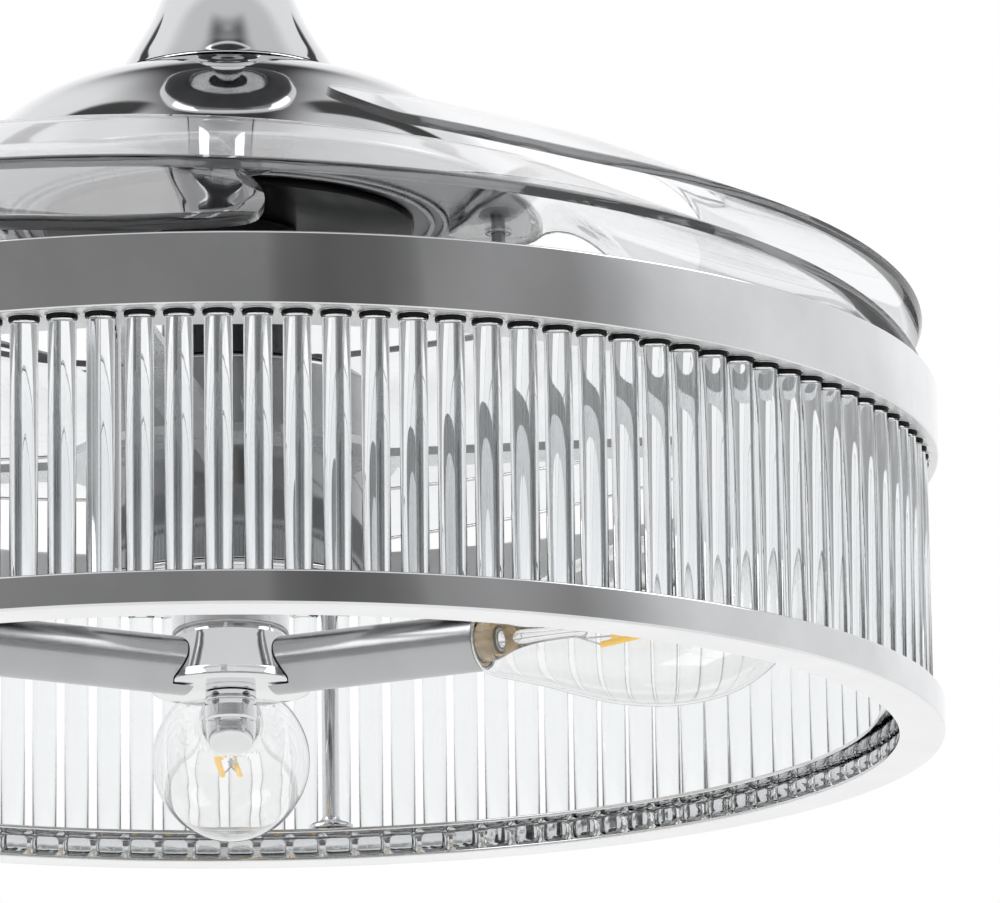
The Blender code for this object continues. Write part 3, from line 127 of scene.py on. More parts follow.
@dataclass
class Signal:
    """A node's output in a graph. Sums and products of it add Math nodes."""

    graph: "Graph"
    socket: bpy.types.NodeSocket

    def output(self, name: str) -> "Signal":
        """Another output of the same node."""
        return Signal(self.graph, self.socket.node.outputs[name])

    def maths(self, operation: str, first: object, second: object) -> "Signal":
        """Math node on two values.

        Args:
            operation: Name of the Math node's operation.
            first: Number or signal.
            second: Number or signal.

        Returns:
            The node's result.
        """
        return self.graph.node("ShaderNodeMath", {"operation": operation}, {0: first, 1: second})

    def __add__(self, other: object) -> "Signal":
        """Sum."""
        return self.maths("ADD", self, other)

    def __sub__(self, other: object) -> "Signal":
        """Difference."""
        return self.maths("SUBTRACT", self, other)

    def __rsub__(self, other: object) -> "Signal":
        """Difference from a number on the left."""
        return self.maths("SUBTRACT", other, self)

    def __mul__(self, other: object) -> "Signal":
        """Product."""
        return self.maths("MULTIPLY", self, other)

    __radd__ = __add__
    __rmul__ = __mul__

    def above(self, other: float) -> "Signal":
        """1 where the signal is over a number, else 0."""
        return self.maths("GREATER_THAN", self, other)

    def largest(self, other: object) -> "Signal":
        """The larger of two values."""
        return self.maths("MAXIMUM", self, other)

    def between(self, low: float, high: float) -> "Signal":
        """Smooth rise from 0 at low to 1 at high."""
        settings = {"interpolation_type": "SMOOTHSTEP", "clamp": True}
        return self.graph.node("ShaderNodeMapRange", settings, {"Value": self, "From Min": low, "From Max": high})


class Graph:
    """Adds and links the nodes of one material or world."""

    def __init__(self, tree: bpy.types.NodeTree) -> None:
        """Start from an empty tree.

        Args:
            tree: Node tree to fill.
        """
        self.tree = tree
        tree.nodes.clear()

    def node(self, kind: str, settings: dict[str, object] | None = None, values: dict[object, object] | None = None,
             output: int | str = 0) -> Signal:
        """Add one node.

        Args:
            kind: The node's type.
            settings: Its settings, with a colour ramp's stops as (place, colour) pairs under "stops".
            values: Numbers, colours or signals by socket name or number.
            output: Which output to return.

        Returns:
            The chosen output as a signal, or the node's first input where it has no output.
        """
        made = self.tree.nodes.new(kind)
        for name, setting in (settings or {}).items():
            if name == "stops":
                self.fill_ramp(made.color_ramp, setting)
            else:
                setattr(made, name, setting)
        for name, value in (values or {}).items():
            if isinstance(value, Signal):
                self.tree.links.new(value.socket, made.inputs[name])
            else:
                made.inputs[name].default_value = value
        if not made.outputs:
            return Signal(self, made.inputs[0])
        return Signal(self, made.outputs[output])

    @staticmethod
    def fill_ramp(ramp: bpy.types.ColorRamp, stops: Sequence[tuple[float, Colour]]) -> None:
        """Set a colour ramp's stops.

        Args:
            ramp: Ramp to fill.
            stops: Place and colour of each stop.
        """
        while len(ramp.elements) < len(stops):
            ramp.elements.new(1.0)
        for element, (place, colour) in zip(ramp.elements, stops):
            element.position = place
            element.color = (*colour, 1.0)

    def blend(self, factor: Signal, first: Signal | Colour, second: Signal | Colour) -> Signal:
        """Colour mix of two colours.

        Args:
            factor: Share of the second colour.
            first: Colour or signal.
            second: Colour or signal.

        Returns:
            The mixed colour.
        """
        ends = [(*colour, 1.0) if isinstance(colour, tuple) else colour for colour in (first, second)]
        values = {"Factor": factor, MIX_FIRST: ends[0], MIX_SECOND: ends[1]}
        return self.node("ShaderNodeMix", {"data_type": "RGBA"}, values, MIX_RESULT)

    def surface(self, values: dict[str, object]) -> None:
        """Principled surface with these values, as the material's output."""
        shader = self.node("ShaderNodeBsdfPrincipled", {}, values)
        self.node("ShaderNodeOutputMaterial", {}, {"Surface": shader})


@dataclass(frozen=True)
class Finish:
    """One procedural finish and the record's slot that it stands for."""

    name: str
    slot: str
    colour: Colour
    metallic: float
    roughness: float
    haze: float
    tone: float
    scale: float
    relief: float = 0.0
    relief_scale: float = 300.0
    grain: Grain = Grain.CLOUD
    transmission: float = 0.0
    ior: float = 1.45
    glow: float = 0.0
    warm: Colour | None = None
    specular: float = 0.5

    def place(self, graph: Graph) -> Signal:
        """Coordinates that stretch along the marks of the grain.

        Args:
            graph: Graph of the material.

        Returns:
            Vector for the noise nodes.
        """
        where = graph.node("ShaderNodeTexCoord", {}, {}, "Object")
        if self.grain is Grain.UPRIGHT:
            return graph.node("ShaderNodeVectorMath", {"operation": "MULTIPLY"}, {0: where, 1: UPRIGHT_STRETCH})
        if self.grain is Grain.ROUND:
            split = graph.node("ShaderNodeSeparateXYZ", {}, {0: where}, "X")
            across, along, up = (split.output(name) for name in "XYZ")
            square = across * across + along * along
            reach = square.maths("POWER", square, 0.5)
            return graph.node("ShaderNodeCombineXYZ", {}, {"X": reach, "Y": reach * ROUND_SKEW, "Z": up})
        return where

    def material(self) -> bpy.types.Material:
        """The finish's material, made on first use.

        Returns:
            Material with its nodes.
        """
        if self.name in bpy.data.materials:
            return bpy.data.materials[self.name]
        made = bpy.data.materials.new(self.name)
        made.use_nodes = True
        graph = Graph(made.node_tree)
        where = self.place(graph)
        cloud = graph.node("ShaderNodeTexNoise", {}, {"Vector": where, "Scale": self.scale, "Detail": CLOUD_DETAIL})
        marks = {"Vector": where, "Scale": self.relief_scale, "Detail": FINE_DETAIL}
        fine = graph.node("ShaderNodeTexNoise", {}, marks)
        dark = tuple(channel * (1.0 - self.tone) for channel in self.colour)
        light = tuple(min(channel * (1.0 + self.tone), 1.0) for channel in (self.warm or self.colour))
        rough = (cloud - 0.5) * self.haze + (fine - 0.5) * (self.haze * 0.5) + self.roughness
        values: dict[str, object] = {
            "Base Color": graph.blend(cloud.between(*CLOUD_SPAN), dark, light), "Roughness": rough.largest(0.0),
            "Metallic": self.metallic, "Transmission Weight": self.transmission, "IOR": self.ior,
            "Specular IOR Level": self.specular}
        if self.relief:
            bump = {"Height": fine, "Strength": BUMP_STRENGTH, "Distance": self.relief}
            values["Normal"] = graph.node("ShaderNodeBump", {}, bump)
        if self.glow:
            values |= {"Emission Color": (*self.colour, 1.0), "Emission Strength": self.glow}
        graph.surface(values)
        made.diffuse_color = (*self.colour, 1.0)
        return made


# After the colour: metallic, roughness, haze, tone, scale, and where the surface has relief, its depth and scale.
CHROME = Finish("polished_chrome", "chrome", (0.80, 0.805, 0.81), 1.0, 0.045, 0.03, 0.02, 14.0, 4e-6, 45.0)
RING_CHROME = Finish("rolled_ring_chrome", "chrome", (0.79, 0.795, 0.80), 1.0, 0.055, 0.045, 0.07, 22.0, 4e-6, 60.0)
SATIN_CHROME = Finish("drawn_sleeve_chrome", "chrome", (0.47, 0.475, 0.48), 1.0, 0.22, 0.08, 0.05, 30.0, 5e-6, 500.0)
# Painted shade: the blade plate's rim and ribs are chrome darkened to 0.31, for the shade under the dome.
SHADED_PLATE_CHROME = Finish("plate_chrome_painted_shade", "chrome", (0.31, 0.315, 0.32), 1.0, 0.27, 0.06, 0.05, 20.0, 5e-6, 300.0)
# Painted shade: the plate's inner web and the dome nut are chrome darkened to 0.13, for deep shade.
DEEP_SHADE_CHROME = Finish("chrome_painted_deep_shade", "chrome", (0.13, 0.13, 0.135), 1.0, 0.33, 0.08, 0.08, 25.0, 5e-6, 300.0)
# Painted shade: the canister inside the drum is chrome darkened to 0.38.
SHADED_CANISTER_CHROME = Finish("canister_chrome_painted_shade", "chrome", (0.38, 0.385, 0.39), 1.0, 0.06, 0.04, 0.05, 20.0, 4e-6,
                         45.0)
# Painted light: a paler, near white chrome for the rings' faces that look down or inwards, so that they read white.
LIT_UNDERSIDE_CHROME = Finish("underside_chrome_painted_light", "chrome", (0.93, 0.93, 0.935), 0.4, 0.33, 0.06, 0.02, 30.0, 4e-6,
                      300.0)
# Painted shade: chrome darkened to near black inside the canopy and the trumpet cover.
SHADED_INSIDE = Finish("inside_chrome_painted_shade", "chrome", (0.05, 0.05, 0.053), 0.5, 0.45, 0.1, 0.15, 60.0, 1e-5, 400.0)
STEEL = Finish("machined_steel", "steel", (0.60, 0.61, 0.62), 1.0, 0.30, 0.16, 0.10, 120.0, 2e-5, 900.0, Grain.ROUND)
PRESSED_STEEL = Finish("pressed_plated_steel", "steel", (0.66, 0.67, 0.68), 1.0, 0.26, 0.12, 0.08, 60.0, 1e-5, 700.0)
SPRING_STEEL = Finish("blued_spring_wire", "spring_steel", (0.30, 0.30, 0.33), 1.0, 0.34, 0.12, 0.12, 200.0, 1e-5,
                      900.0, Grain.UPRIGHT)
GREY_CAST = Finish("cast_grey", "grey_cast", (0.42, 0.43, 0.44), 0.9, 0.46, 0.16, 0.12, 90.0, 6e-5, 650.0)
ROD_GLASS = Finish("rod_glass_clear", "rod_glass", (0.95, 0.966, 0.973), 0.0, 0.01, 0.012, 0.008, 60.0,
                   grain=Grain.UPRIGHT, transmission=1.0, ior=1.5)
FOOT_GLASS = Finish("moulded_foot_clear", "rod_glass", (0.95, 0.96, 0.965), 0.0, 0.03, 0.02, 0.01, 120.0,
                    transmission=1.0, ior=1.42)
BULB_GLASS = Finish("bulb_glass_thin", "bulb_glass", (0.985, 0.985, 0.98), 0.0, 0.006, 0.01, 0.008, 30.0,
                    transmission=1.0)
ACRYLIC = Finish("blade_acrylic_clear", "clear_acrylic", (0.975, 0.98, 0.985), 0.0, 0.012, 0.014, 0.008, 18.0,
                 transmission=1.0, ior=1.33, specular=0.25)
# Painted shade and reflection: the blades' upright edge faces are clear acrylic darkened to 0.31.
SHADED_ACRYLIC_EDGE = Finish("blade_edge_painted_shade", "clear_acrylic", (0.31, 0.315, 0.325), 0.0, 0.05, 0.04, 0.10, 30.0,
                      transmission=0.85, ior=1.49)
BLACK_PLASTIC = Finish("black_moulded", "black_plastic", (0.018, 0.018, 0.02), 0.0, 0.38, 0.14, 0.2, 90.0, 3e-5,
                       1400.0)
BLACK_MIRROR = Finish("black_gloss_disc", "black_mirror", (0.008, 0.008, 0.009), 0.0, 0.16, 0.06, 0.3, 25.0,
                      specular=0.04)
BLACK_GLOSS = Finish("black_gloss_neck", "black_plastic", (0.05, 0.05, 0.055), 0.6, 0.14, 0.08, 0.2, 60.0,
                     grain=Grain.UPRIGHT)
BLACK_RUBBER = Finish("rod_cap_rubber", "black_plastic", (0.007, 0.007, 0.008), 0.0, 0.5, 0.1, 0.2, 200.0,
                      specular=0.15)
MAGNET = Finish("sintered_magnet", "magnet", (0.09, 0.09, 0.10), 0.6, 0.5, 0.15, 0.15, 220.0, 5e-5, 900.0)
WHITE_PLASTIC = Finish("white_moulded", "white_plastic", (0.82, 0.82, 0.80), 0.0, 0.44, 0.1, 0.03, 70.0, 4e-5, 1200.0)
BRASS = Finish("lamp_cap_brass", "brass", (0.34, 0.23, 0.10), 1.0, 0.28, 0.14, 0.14, 160.0, 1e-5, 700.0, Grain.ROUND,
               warm=(0.50, 0.36, 0.17))
PHOSPHOR = Finish("filament_phosphor", "bulb_glass", (1.0, 0.62, 0.12), 0.0, 0.5, 0.1, 0.08, 400.0, 3e-5, 1500.0,
                  glow=0.35)


def is_edge(face: bpy.types.MeshPolygon) -> bool:
    """Whether a face stands upright."""
    return abs(face.normal.z) < 0.5


def looks_down(face: bpy.types.MeshPolygon) -> bool:
    """Whether a face looks more down than sideways."""
    return face.normal.z < -0.6


def looks_inwards(face: bpy.types.MeshPolygon) -> bool:
    """Whether a face looks towards the Z axis."""
    reach = math.hypot(face.center.x, face.center.y)
    return face.normal.x * face.center.x + face.normal.y * face.center.y < -0.3 * reach


def looks_down_or_inwards(face: bpy.types.MeshPolygon) -> bool:
    """Whether a face looks down or towards the Z axis."""
    return face.normal.z < -0.9 or looks_inwards(face)


def rounded(corners: Sequence[Point], steps: int = 3) -> Outline:
    """Closed outline with its corners softened.

    Args:
        corners: Points as (radius, height, softening length).
        steps: Points added at each softened corner.

    Returns:
        Points of the softened outline.
    """
    points: Outline = []
    for index, (across, up, soften) in enumerate(corners):
        if soften <= 0.0:
            points.append((across, up))
            continue
        here = Vector((across, up))
        before = Vector(corners[index - 1][:2]) - here
        after = Vector(corners[(index + 1) % len(corners)][:2]) - here
        first = here + before.normalized() * min(soften, before.length * SOFTEN_LIMIT)
        last = here + after.normalized() * min(soften, after.length * SOFTEN_LIMIT)
        for step in range(steps + 1):
            share = step / steps
            point = first * (1 - share) ** 2 + here * (2 * share * (1 - share)) + last * share ** 2
            points.append((point.x, point.y))
    return points


def band(inner: float, outer: float, start: float, end: float, soften: Sequence[float] = NO_SOFTENING,
         steps: int = 3) -> Outline:
    """Outline of a plain ring, or of a disc where the inner radius is 0.

    Args:
        inner: Inner radius.
        outer: Outer radius.
        start: Height of the first two corners.
        end: Height of the last two corners.
        soften: Softening of the corners, from inner start by outer start and outer end to inner end.
        steps: Points added at each softened corner.

    Returns:
        Points as (radius, height).
    """
    corners = ((inner, start), (outer, start), (outer, end), (inner, end))
    return rounded([(*corner, length) for corner, length in zip(corners, soften)], steps)


def curve_through(points: Sequence[Sequence[float]], per_span: int, closed: bool = False) -> list[tuple[float, ...]]:
    """Smooth curve through points.

    Args:
        points: Points of any one dimension.
        per_span: New points for each span.
        closed: Whether the curve closes on itself.

    Returns:
        Points along the curve.
    """
    count = len(points)
    made = []
    for index in range(count if closed else count - 1):
        places = range(index - 1, index + 3)
        four = [points[place % count if closed else min(max(place, 0), count - 1)] for place in places]
        for step in range(per_span):
            share = step / per_span
            made.append(tuple(0.5 * (2 * b + (c - a) * share + (2 * a - 5 * b + 4 * c - d) * share ** 2
                                     + (3 * b - a - 3 * c + d) * share ** 3) for a, b, c, d in zip(*four)))
    if not closed:
        made.append(tuple(points[-1]))
    return made


def profile(shares: Sequence[Pair], wide: float, start: float, tall: float, per_span: int) -> Outline:
    """Smooth outline through shares of a radius and of a height over a start."""
    return curve_through([(across * wide, start + up * tall) for across, up in shares], per_span)


def oval(half_x: float, half_y: float, up: float, steps: int) -> list[Point]:
    """Level ring of points round Z."""
    turns = [math.tau * step / steps for step in range(steps)]
    return [(half_x * math.cos(turn), half_y * math.sin(turn), up) for turn in turns]


def lathe(outline: Sequence[Pair], sides: int, closed: bool = True) -> Solid:
    """Surface turned round Z.

    Args:
        outline: Points as (radius, height).
        sides: Number of steps round the axis.
        closed: Whether the last point joins the first.

    Returns:
        Vertices and faces.
    """
    vertices: list[Point] = []
    faces: list[tuple[int, ...]] = []
    rows: list[range] = []
    for radius, up in outline:
        ring = oval(radius, radius, up, 1 if radius < AXIS_REACH else sides)
        rows.append(range(len(vertices), len(vertices) + len(ring)))
        vertices += ring
    pairs = list(zip(rows, rows[1:]))
    if closed:
        pairs.append((rows[-1], rows[0]))
    for first, second in pairs:
        if len(first) == 1 and len(second) == 1:
            continue
        for step in range(sides):
            after = (step + 1) % sides
            corners = (first[step % len(first)], first[after % len(first)],
                       second[after % len(second)], second[step % len(second)])
            faces.append(tuple(dict.fromkeys(corners)))
    return vertices, faces


def shell(outer: Outline, wall: float, sides: int, ends: dict[int, Pair] | None = None) -> Solid:
    """Turned shell of even thickness.

    Args:
        outer: Outer side as (radius, height).
        wall: Thickness, below 0 where the outer side runs upwards.
        sides: Number of steps round the axis.
        ends: Inner points that are given. Without it, both ends are level.

    Returns:
        Vertices and faces.
    """
    inner: Outline = []
    for index, (radius, up) in enumerate(outer):
        before, after = Vector(outer[max(index - 1, 0)]), Vector(outer[min(index + 1, len(outer) - 1)])
        along = (after - before).normalized()
        inner.append((radius + along.y * wall, up - along.x * wall))
    for index, point in (ends or {end: (inner[end][0], outer[end][1]) for end in (0, -1)}).items():
        inner[index] = point
    return lathe(outer + inner[::-1], sides)


def loft(rings: Sequence[Sequence[Point]]) -> Solid:
    """Solid skinned over rings of points, with both ends closed.

    Args:
        rings: Rings of equal count.

    Returns:
        Vertices and faces.
    """
    count = len(rings[0])
    vertices = [point for ring in rings for point in ring]
    faces: list[tuple[int, ...]] = [tuple(range(count)), tuple(range(len(vertices) - count, len(vertices)))]
    for level in range(len(rings) - 1):
        base = level * count
        for step in range(count):
            after = (step + 1) % count
            faces.append((base + step, base + after, base + count + after, base + count + step))
    return vertices, faces


def wire(path: Sequence[Point], radius: float, sides: int = 10) -> Solid:
    """Round wire along a path.

    Args:
        path: Points of the wire's middle.
        radius: Radius of the wire.
        sides: Number of steps round it.

    Returns:
        Vertices and faces.
    """
    rings = []
    for index, point in enumerate(path):
        here = Vector(point)
        along = (Vector(path[min(index + 1, len(path) - 1)]) - Vector(path[max(index - 1, 0)])).normalized()
        side = along.orthogonal().normalized() if index == 0 else (side - along * side.dot(along)).normalized()
        other = along.cross(side)
        rings.append([tuple(here + (side * math.cos(math.tau * step / sides)
                                    + other * math.sin(math.tau * step / sides)) * radius) for step in range(sides)])
    return loft(rings)


def soft_block(size: Point, soften: float, steps: int = 4) -> Solid:
    """Block round the origin with rounded corners and edges.

    Args:
        size: Length of each side.
        soften: Radius of the rounding.
        steps: Steps in each quarter turn.

    Returns:
        Vertices and faces.
    """
    reach = [length / 2 - soften for length in size]
    tilts = [math.radians(-90.0 + 90.0 * step / steps) for step in range(1, steps + 1)]
    rings = []
    for middle, tilt in [(-reach[2], tilt) for tilt in tilts] + [(reach[2], -tilt) for tilt in tilts[::-1]]:
        wide, up = soften * math.cos(tilt), middle + soften * math.sin(tilt)
        ring = []
        for corner, (side_x, side_y) in enumerate(((1, 1), (-1, 1), (-1, -1), (1, -1))):
            for step in range(steps + 1):
                angle = math.radians(90.0 * (corner + step / steps))
                ring.append((side_x * reach[0] + wide * math.cos(angle),
                             side_y * reach[1] + wide * math.sin(angle), up))
        rings.append(ring)
    return loft(rings)


def moved(solid: Solid, matrix: Matrix) -> Solid:
    """Copy of a solid under a matrix."""
    return [tuple(matrix @ Vector(point)) for point in solid[0]], solid[1]


def joined(solids: Sequence[Solid]) -> Solid:
    """Several solids as one.

    Args:
        solids: Solids to join.

    Returns:
        Vertices and faces.
    """
    vertices: list[Point] = []
    faces: list[tuple[int, ...]] = []
    for points, polygons in solids:
        start = len(vertices)
        vertices += points
        faces += [tuple(start + index for index in polygon) for polygon in polygons]
    return vertices, faces


def at_heading(heading_deg: float, radius: float = 0.0, up: float = 0.0) -> Matrix:
    """Matrix that turns +X to a heading after a move along it and up."""
    turn = Matrix.Rotation(math.radians(heading_deg + FRONT_DEG), 4, "Z")
    return turn @ Matrix.Translation((radius, 0.0, up))


def pointing(heading_deg: float, up: float) -> Matrix:
    """Matrix that lays a solid built along Z on a level axis outwards at a heading."""
    lay = Matrix.Rotation(math.radians(90.0), 4, "Y")
    return Matrix.Translation((0.0, 0.0, up)) @ at_heading(heading_deg) @ lay


def linked(name: str, data: bpy.types.ID) -> bpy.types.Object:
    """New object in the scene."""
    item = bpy.data.objects.new(name, data)
    bpy.context.scene.collection.objects.link(item)
    return item


def mesh_of(name: str, solid: Solid) -> bpy.types.Mesh:
    """Mesh of a solid, with double points merged and its faces turned outwards.

    Args:
        name: Name of the mesh.
        solid: Vertices and faces.

    Returns:
        The mesh.
    """
    mesh = bpy.data.meshes.new(name)
    mesh.from_pydata(solid[0], [], solid[1])
    work = bmesh.new()
    work.from_mesh(mesh)
    bmesh.ops.remove_doubles(work, verts=work.verts, dist=1e-6)
    bmesh.ops.recalc_face_normals(work, faces=work.faces)
    work.to_mesh(mesh)
    work.free()
    return mesh


def bake_down(item: bpy.types.Object) -> None:
    """Turn an object's modifiers into plain mesh.

    Args:
        item: Object to change.
    """
    view = bpy.context.evaluated_depsgraph_get()
    mesh = bpy.data.meshes.new_from_object(item.evaluated_get(view))
    item.modifiers.clear()
    item.data = mesh


def cut_out(item: bpy.types.Object, solid: Solid) -> None:
    """Cut a solid out of an object.

    Args:
        item: Object to cut.
        solid: Vertices and faces of the cutter.
    """
    cutter = linked("cutter", mesh_of("cutter", solid))
    change = item.modifiers.new("cut", "BOOLEAN")
    change.operation = "DIFFERENCE"
    change.solver = "EXACT"
    change.object = cutter
    bpy.context.view_layer.update()
    bake_down(item)
    bpy.data.objects.remove(cutter, do_unlink=True)


def pivot_holes(radius: float, low_mm: float, high_mm: float, headings_deg: Sequence[float]) -> Solid:
    """Cutter for a hole on the blades' pivot circle at each heading."""
    hole = lathe(band(0.0, radius, height(low_mm), height(high_mm)), 40)
    return joined([moved(hole, at_heading(heading, BLADE_PIVOT)) for heading in headings_deg])


@dataclass
class Bench:
    """Where finished pieces are put on the frame."""

    frame: dict[str, object]
    made: list[str] = field(default_factory=list)

    def place(self, name: str, solid: Solid, finish: Finish, body: Body, replaces: Sequence[str] = (),
              sharp_deg: float = 40.0, shape: Callable[[bpy.types.Object], None] | None = None,
              second: tuple[Finish, Callable[[bpy.types.MeshPolygon], bool]] | None = None) -> bpy.types.Object:
        """Make a piece and let it ride on a body.

        Args:
            name: Name of the piece.
            solid: Vertices and faces.
            finish: Its finish.
            body: Body it rides on.
            replaces: CAD nodes that it stands for.
            sharp_deg: Edges sharper than this stay sharp.
            shape: Work to be done on the object before it is dressed.
            second: Another finish, and the test for the faces that take it.

        Returns:
            The finished object.
        """
        item = linked(name, mesh_of(name, solid))
        if shape:
            shape(item)
        item.data.materials.clear()
        item.data.materials.append(finish.material())
        if second:
            item.data.materials.append(second[0].material())
            for face in item.data.polygons:
                face.material_index = int(second[1](face))
        item.data.shade_smooth()
        item.data.set_sharp_from_angle(angle=math.radians(sharp_deg))
        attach(item, body.value)
        if replaces:
            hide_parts(*replaces)
        self.made.append(name)
        LOG.info("%s rides on %s", name, body.value)
        return item

    def dress(self, finish: Finish, *nodes: str) -> None:
        """Give CAD nodes that stay in view a finish.

        Args:
            finish: The finish.
            nodes: Names of the nodes.
        """
        for node in nodes:
            item = self.frame["nodes"][node]
            item.data.materials.clear()
            item.data.materials.append(finish.material())
            LOG.info("%s keeps its CAD shape", node)


@dataclass
class Assembly:
    """Base of the sub-assemblies: most pieces of one ride on one body."""

    bench: Bench
    body: Body = Body.HANGING

    def put(self, name: str, solid: Solid, finish: Finish, *replaces: str, **options: object) -> None:
        """Place a piece on the sub-assembly's body."""
        self.bench.place(name, solid, finish, self.body, replaces, **options)


@dataclass
class CeilingMount(Assembly):
    """Bracket, receiver, canopy and its screws."""

    body: Body = Body.CEILING
    radius: float = 0.070
    top: float = -0.0005
    depth: float = 0.0795
    wall: float = 0.0015
    shares: Shares = ((1.0, 0.0), (1.0, 0.2), (0.997, 0.37), (0.943, 0.648), (0.8, 0.874), (0.571, 0.987),
                      (0.486, 1.0))
    screw_headings_deg: tuple[float, ...] = (90.0, -90.0)
    screw_drop: float = 0.0145
    screw_head: tuple[Point, ...] = ((0.0, 0.0019, 0.0), (0.0026, 0.0017, 0.0008), (0.0034, 0.0006, 0.0004),
                                     (0.0034, 0.0, 0.0), (0.0, 0.0, 0.0))

    def build(self) -> None:
        """Build the canopy and dress the bracket."""
        outer = profile(self.shares, self.radius, self.top, -self.depth, 6)
        ends = {0: (self.radius - self.wall, self.top), -1: (outer[-1][0], outer[-1][1] + self.wall)}
        # The canopy's faces that look down take chrome with painted shade.
        self.put("canopy_shell", shell(outer, self.wall, 128, ends), CHROME, "canopy", second=(SHADED_INSIDE, looks_down))
        head = lathe(rounded(self.screw_head), 24)
        for number, heading in enumerate(self.screw_headings_deg, 1):
            way = pointing(heading, -self.screw_drop) @ Matrix.Translation((0.0, 0.0, self.radius + SEAT_GAP))
            self.put(f"canopy_screw_head_{number}", moved(head, way), CHROME, f"canopy_screw_{number}")
        self.bench.dress(PRESSED_STEEL, "hanger_bracket")
        self.bench.dress(WHITE_PLASTIC, "receiver")


@dataclass
class Downrod(Assembly):
    """Ball, pin, rod and the trumpet cover over the yoke."""

    rod_radius: float = 0.0105
    rod_wall: float = 0.003
    rod_bottom_mm: float = 132.9
    rod_top: float = -0.029
    rod_clearance: float = 0.0004
    ball_radius: float = 0.022
    ball_drop: float = 0.052
    ball_end_deg: int = 60
    cover_radius: float = 0.0403
    cover_bottom_mm: float = 120.8
    cover_height: float = 0.0742
    cover_wall: float = 0.0012
    cover_shares: Shares = ((0.335, 1.0), (0.345, 0.87), (0.375, 0.72), (0.445, 0.585), (0.537, 0.472),
                            (0.691, 0.273), (0.906, 0.077), (1.0, 0.0))
    grommet_width: float = 0.0022
    grommet_height: float = 0.004

    def build(self) -> None:
        """Build the rod, ball, cover and grommet."""
        rod = band(self.rod_radius - self.rod_wall, self.rod_radius, height(self.rod_bottom_mm), self.rod_top,
                   (0.0004, 0.0006, 0.0006, 0.0004))
        self.put("downrod_tube", lathe(rod, 64), CHROME, "downrod")
        bore = self.rod_radius + self.rod_clearance
        tilts = [math.radians(tilt) for tilt in range(-self.ball_end_deg, self.ball_end_deg + 1, 5)]
        ball = [(self.ball_radius * math.cos(tilt), self.ball_radius * math.sin(tilt) - self.ball_drop)
                for tilt in tilts]
        ball += [(bore, ball[-1][1]), (bore, ball[0][1])]
        self.put("hanger_ball_round", lathe(ball, 64), BLACK_PLASTIC, "hanger_ball")
        base = height(self.cover_bottom_mm)
        outer = profile(self.cover_shares, self.cover_radius, base, self.cover_height, 8)
        # The trumpet's inner faces take chrome with painted shade.
        self.put("coupling_trumpet", shell(outer, self.cover_wall, 128), CHROME, "coupling_cover",
                 second=(SHADED_INSIDE, looks_inwards))
        low = base + self.cover_height + SEAT_GAP
        ring = band(bore, bore + self.grommet_width, low, low + self.grommet_height, (0.0003, 0.0008, 0.0012, 0.0006))
        self.put("cover_grommet_ring", lathe(ring, 48), BLACK_PLASTIC, "cover_grommet")
        self.bench.dress(STEEL, "ball_pin", "motor_yoke", "yoke_pin", "motor_shaft")
        self.bench.dress(SPRING_STEEL, "yoke_clip")


@dataclass
class Dome(Assembly):
    """Bright dome, its nut, and the motor inside."""

    body: Body = Body.ROTOR
    radius: float = 0.112
    bottom_mm: float = 67.5
    rise: float = 0.052
    wall: float = 0.0013
    hole: float = 0.0204
    shares: Shares = ((0.402, 0.958), (0.54, 0.872), (0.67, 0.733), (0.79, 0.522), (0.90, 0.285), (0.975, 0.09),
                      (1.0, 0.02), (1.0, 0.0))
    nut_width: float = 0.005
    nut_height: float = 0.0018

    def build(self) -> None:
        """Build the dome and its nut, and dress the motor."""
        base = height(self.bottom_mm)
        top = base + self.rise
        crown = [(across * self.radius, base + up * self.rise) for across, up in self.shares]
        outer = curve_through([(self.hole, top)] + crown, 8)
        ends = {0: (self.hole, top - self.wall), -1: (self.radius - self.wall, base)}
        self.put("dome_shell", shell(outer, self.wall, 192, ends), CHROME, "dome_cover")
        low = top + SEAT_GAP
        nut = band(self.hole, self.hole + self.nut_width, low, low + self.nut_height,
                   (0.0002, 0.0006, 0.0008, 0.0004))
        # The nut is chrome with painted deep shade.
        self.put("dome_ring_nut", lathe(nut, 96), DEEP_SHADE_CHROME, "dome_nut")
        self.bench.dress(GREY_CAST, "motor_cup", "motor_lid")
        self.bench.dress(MAGNET, "magnet_ring")
        self.bench.dress(STEEL, "upper_bearing", "lower_bearing", "stator")


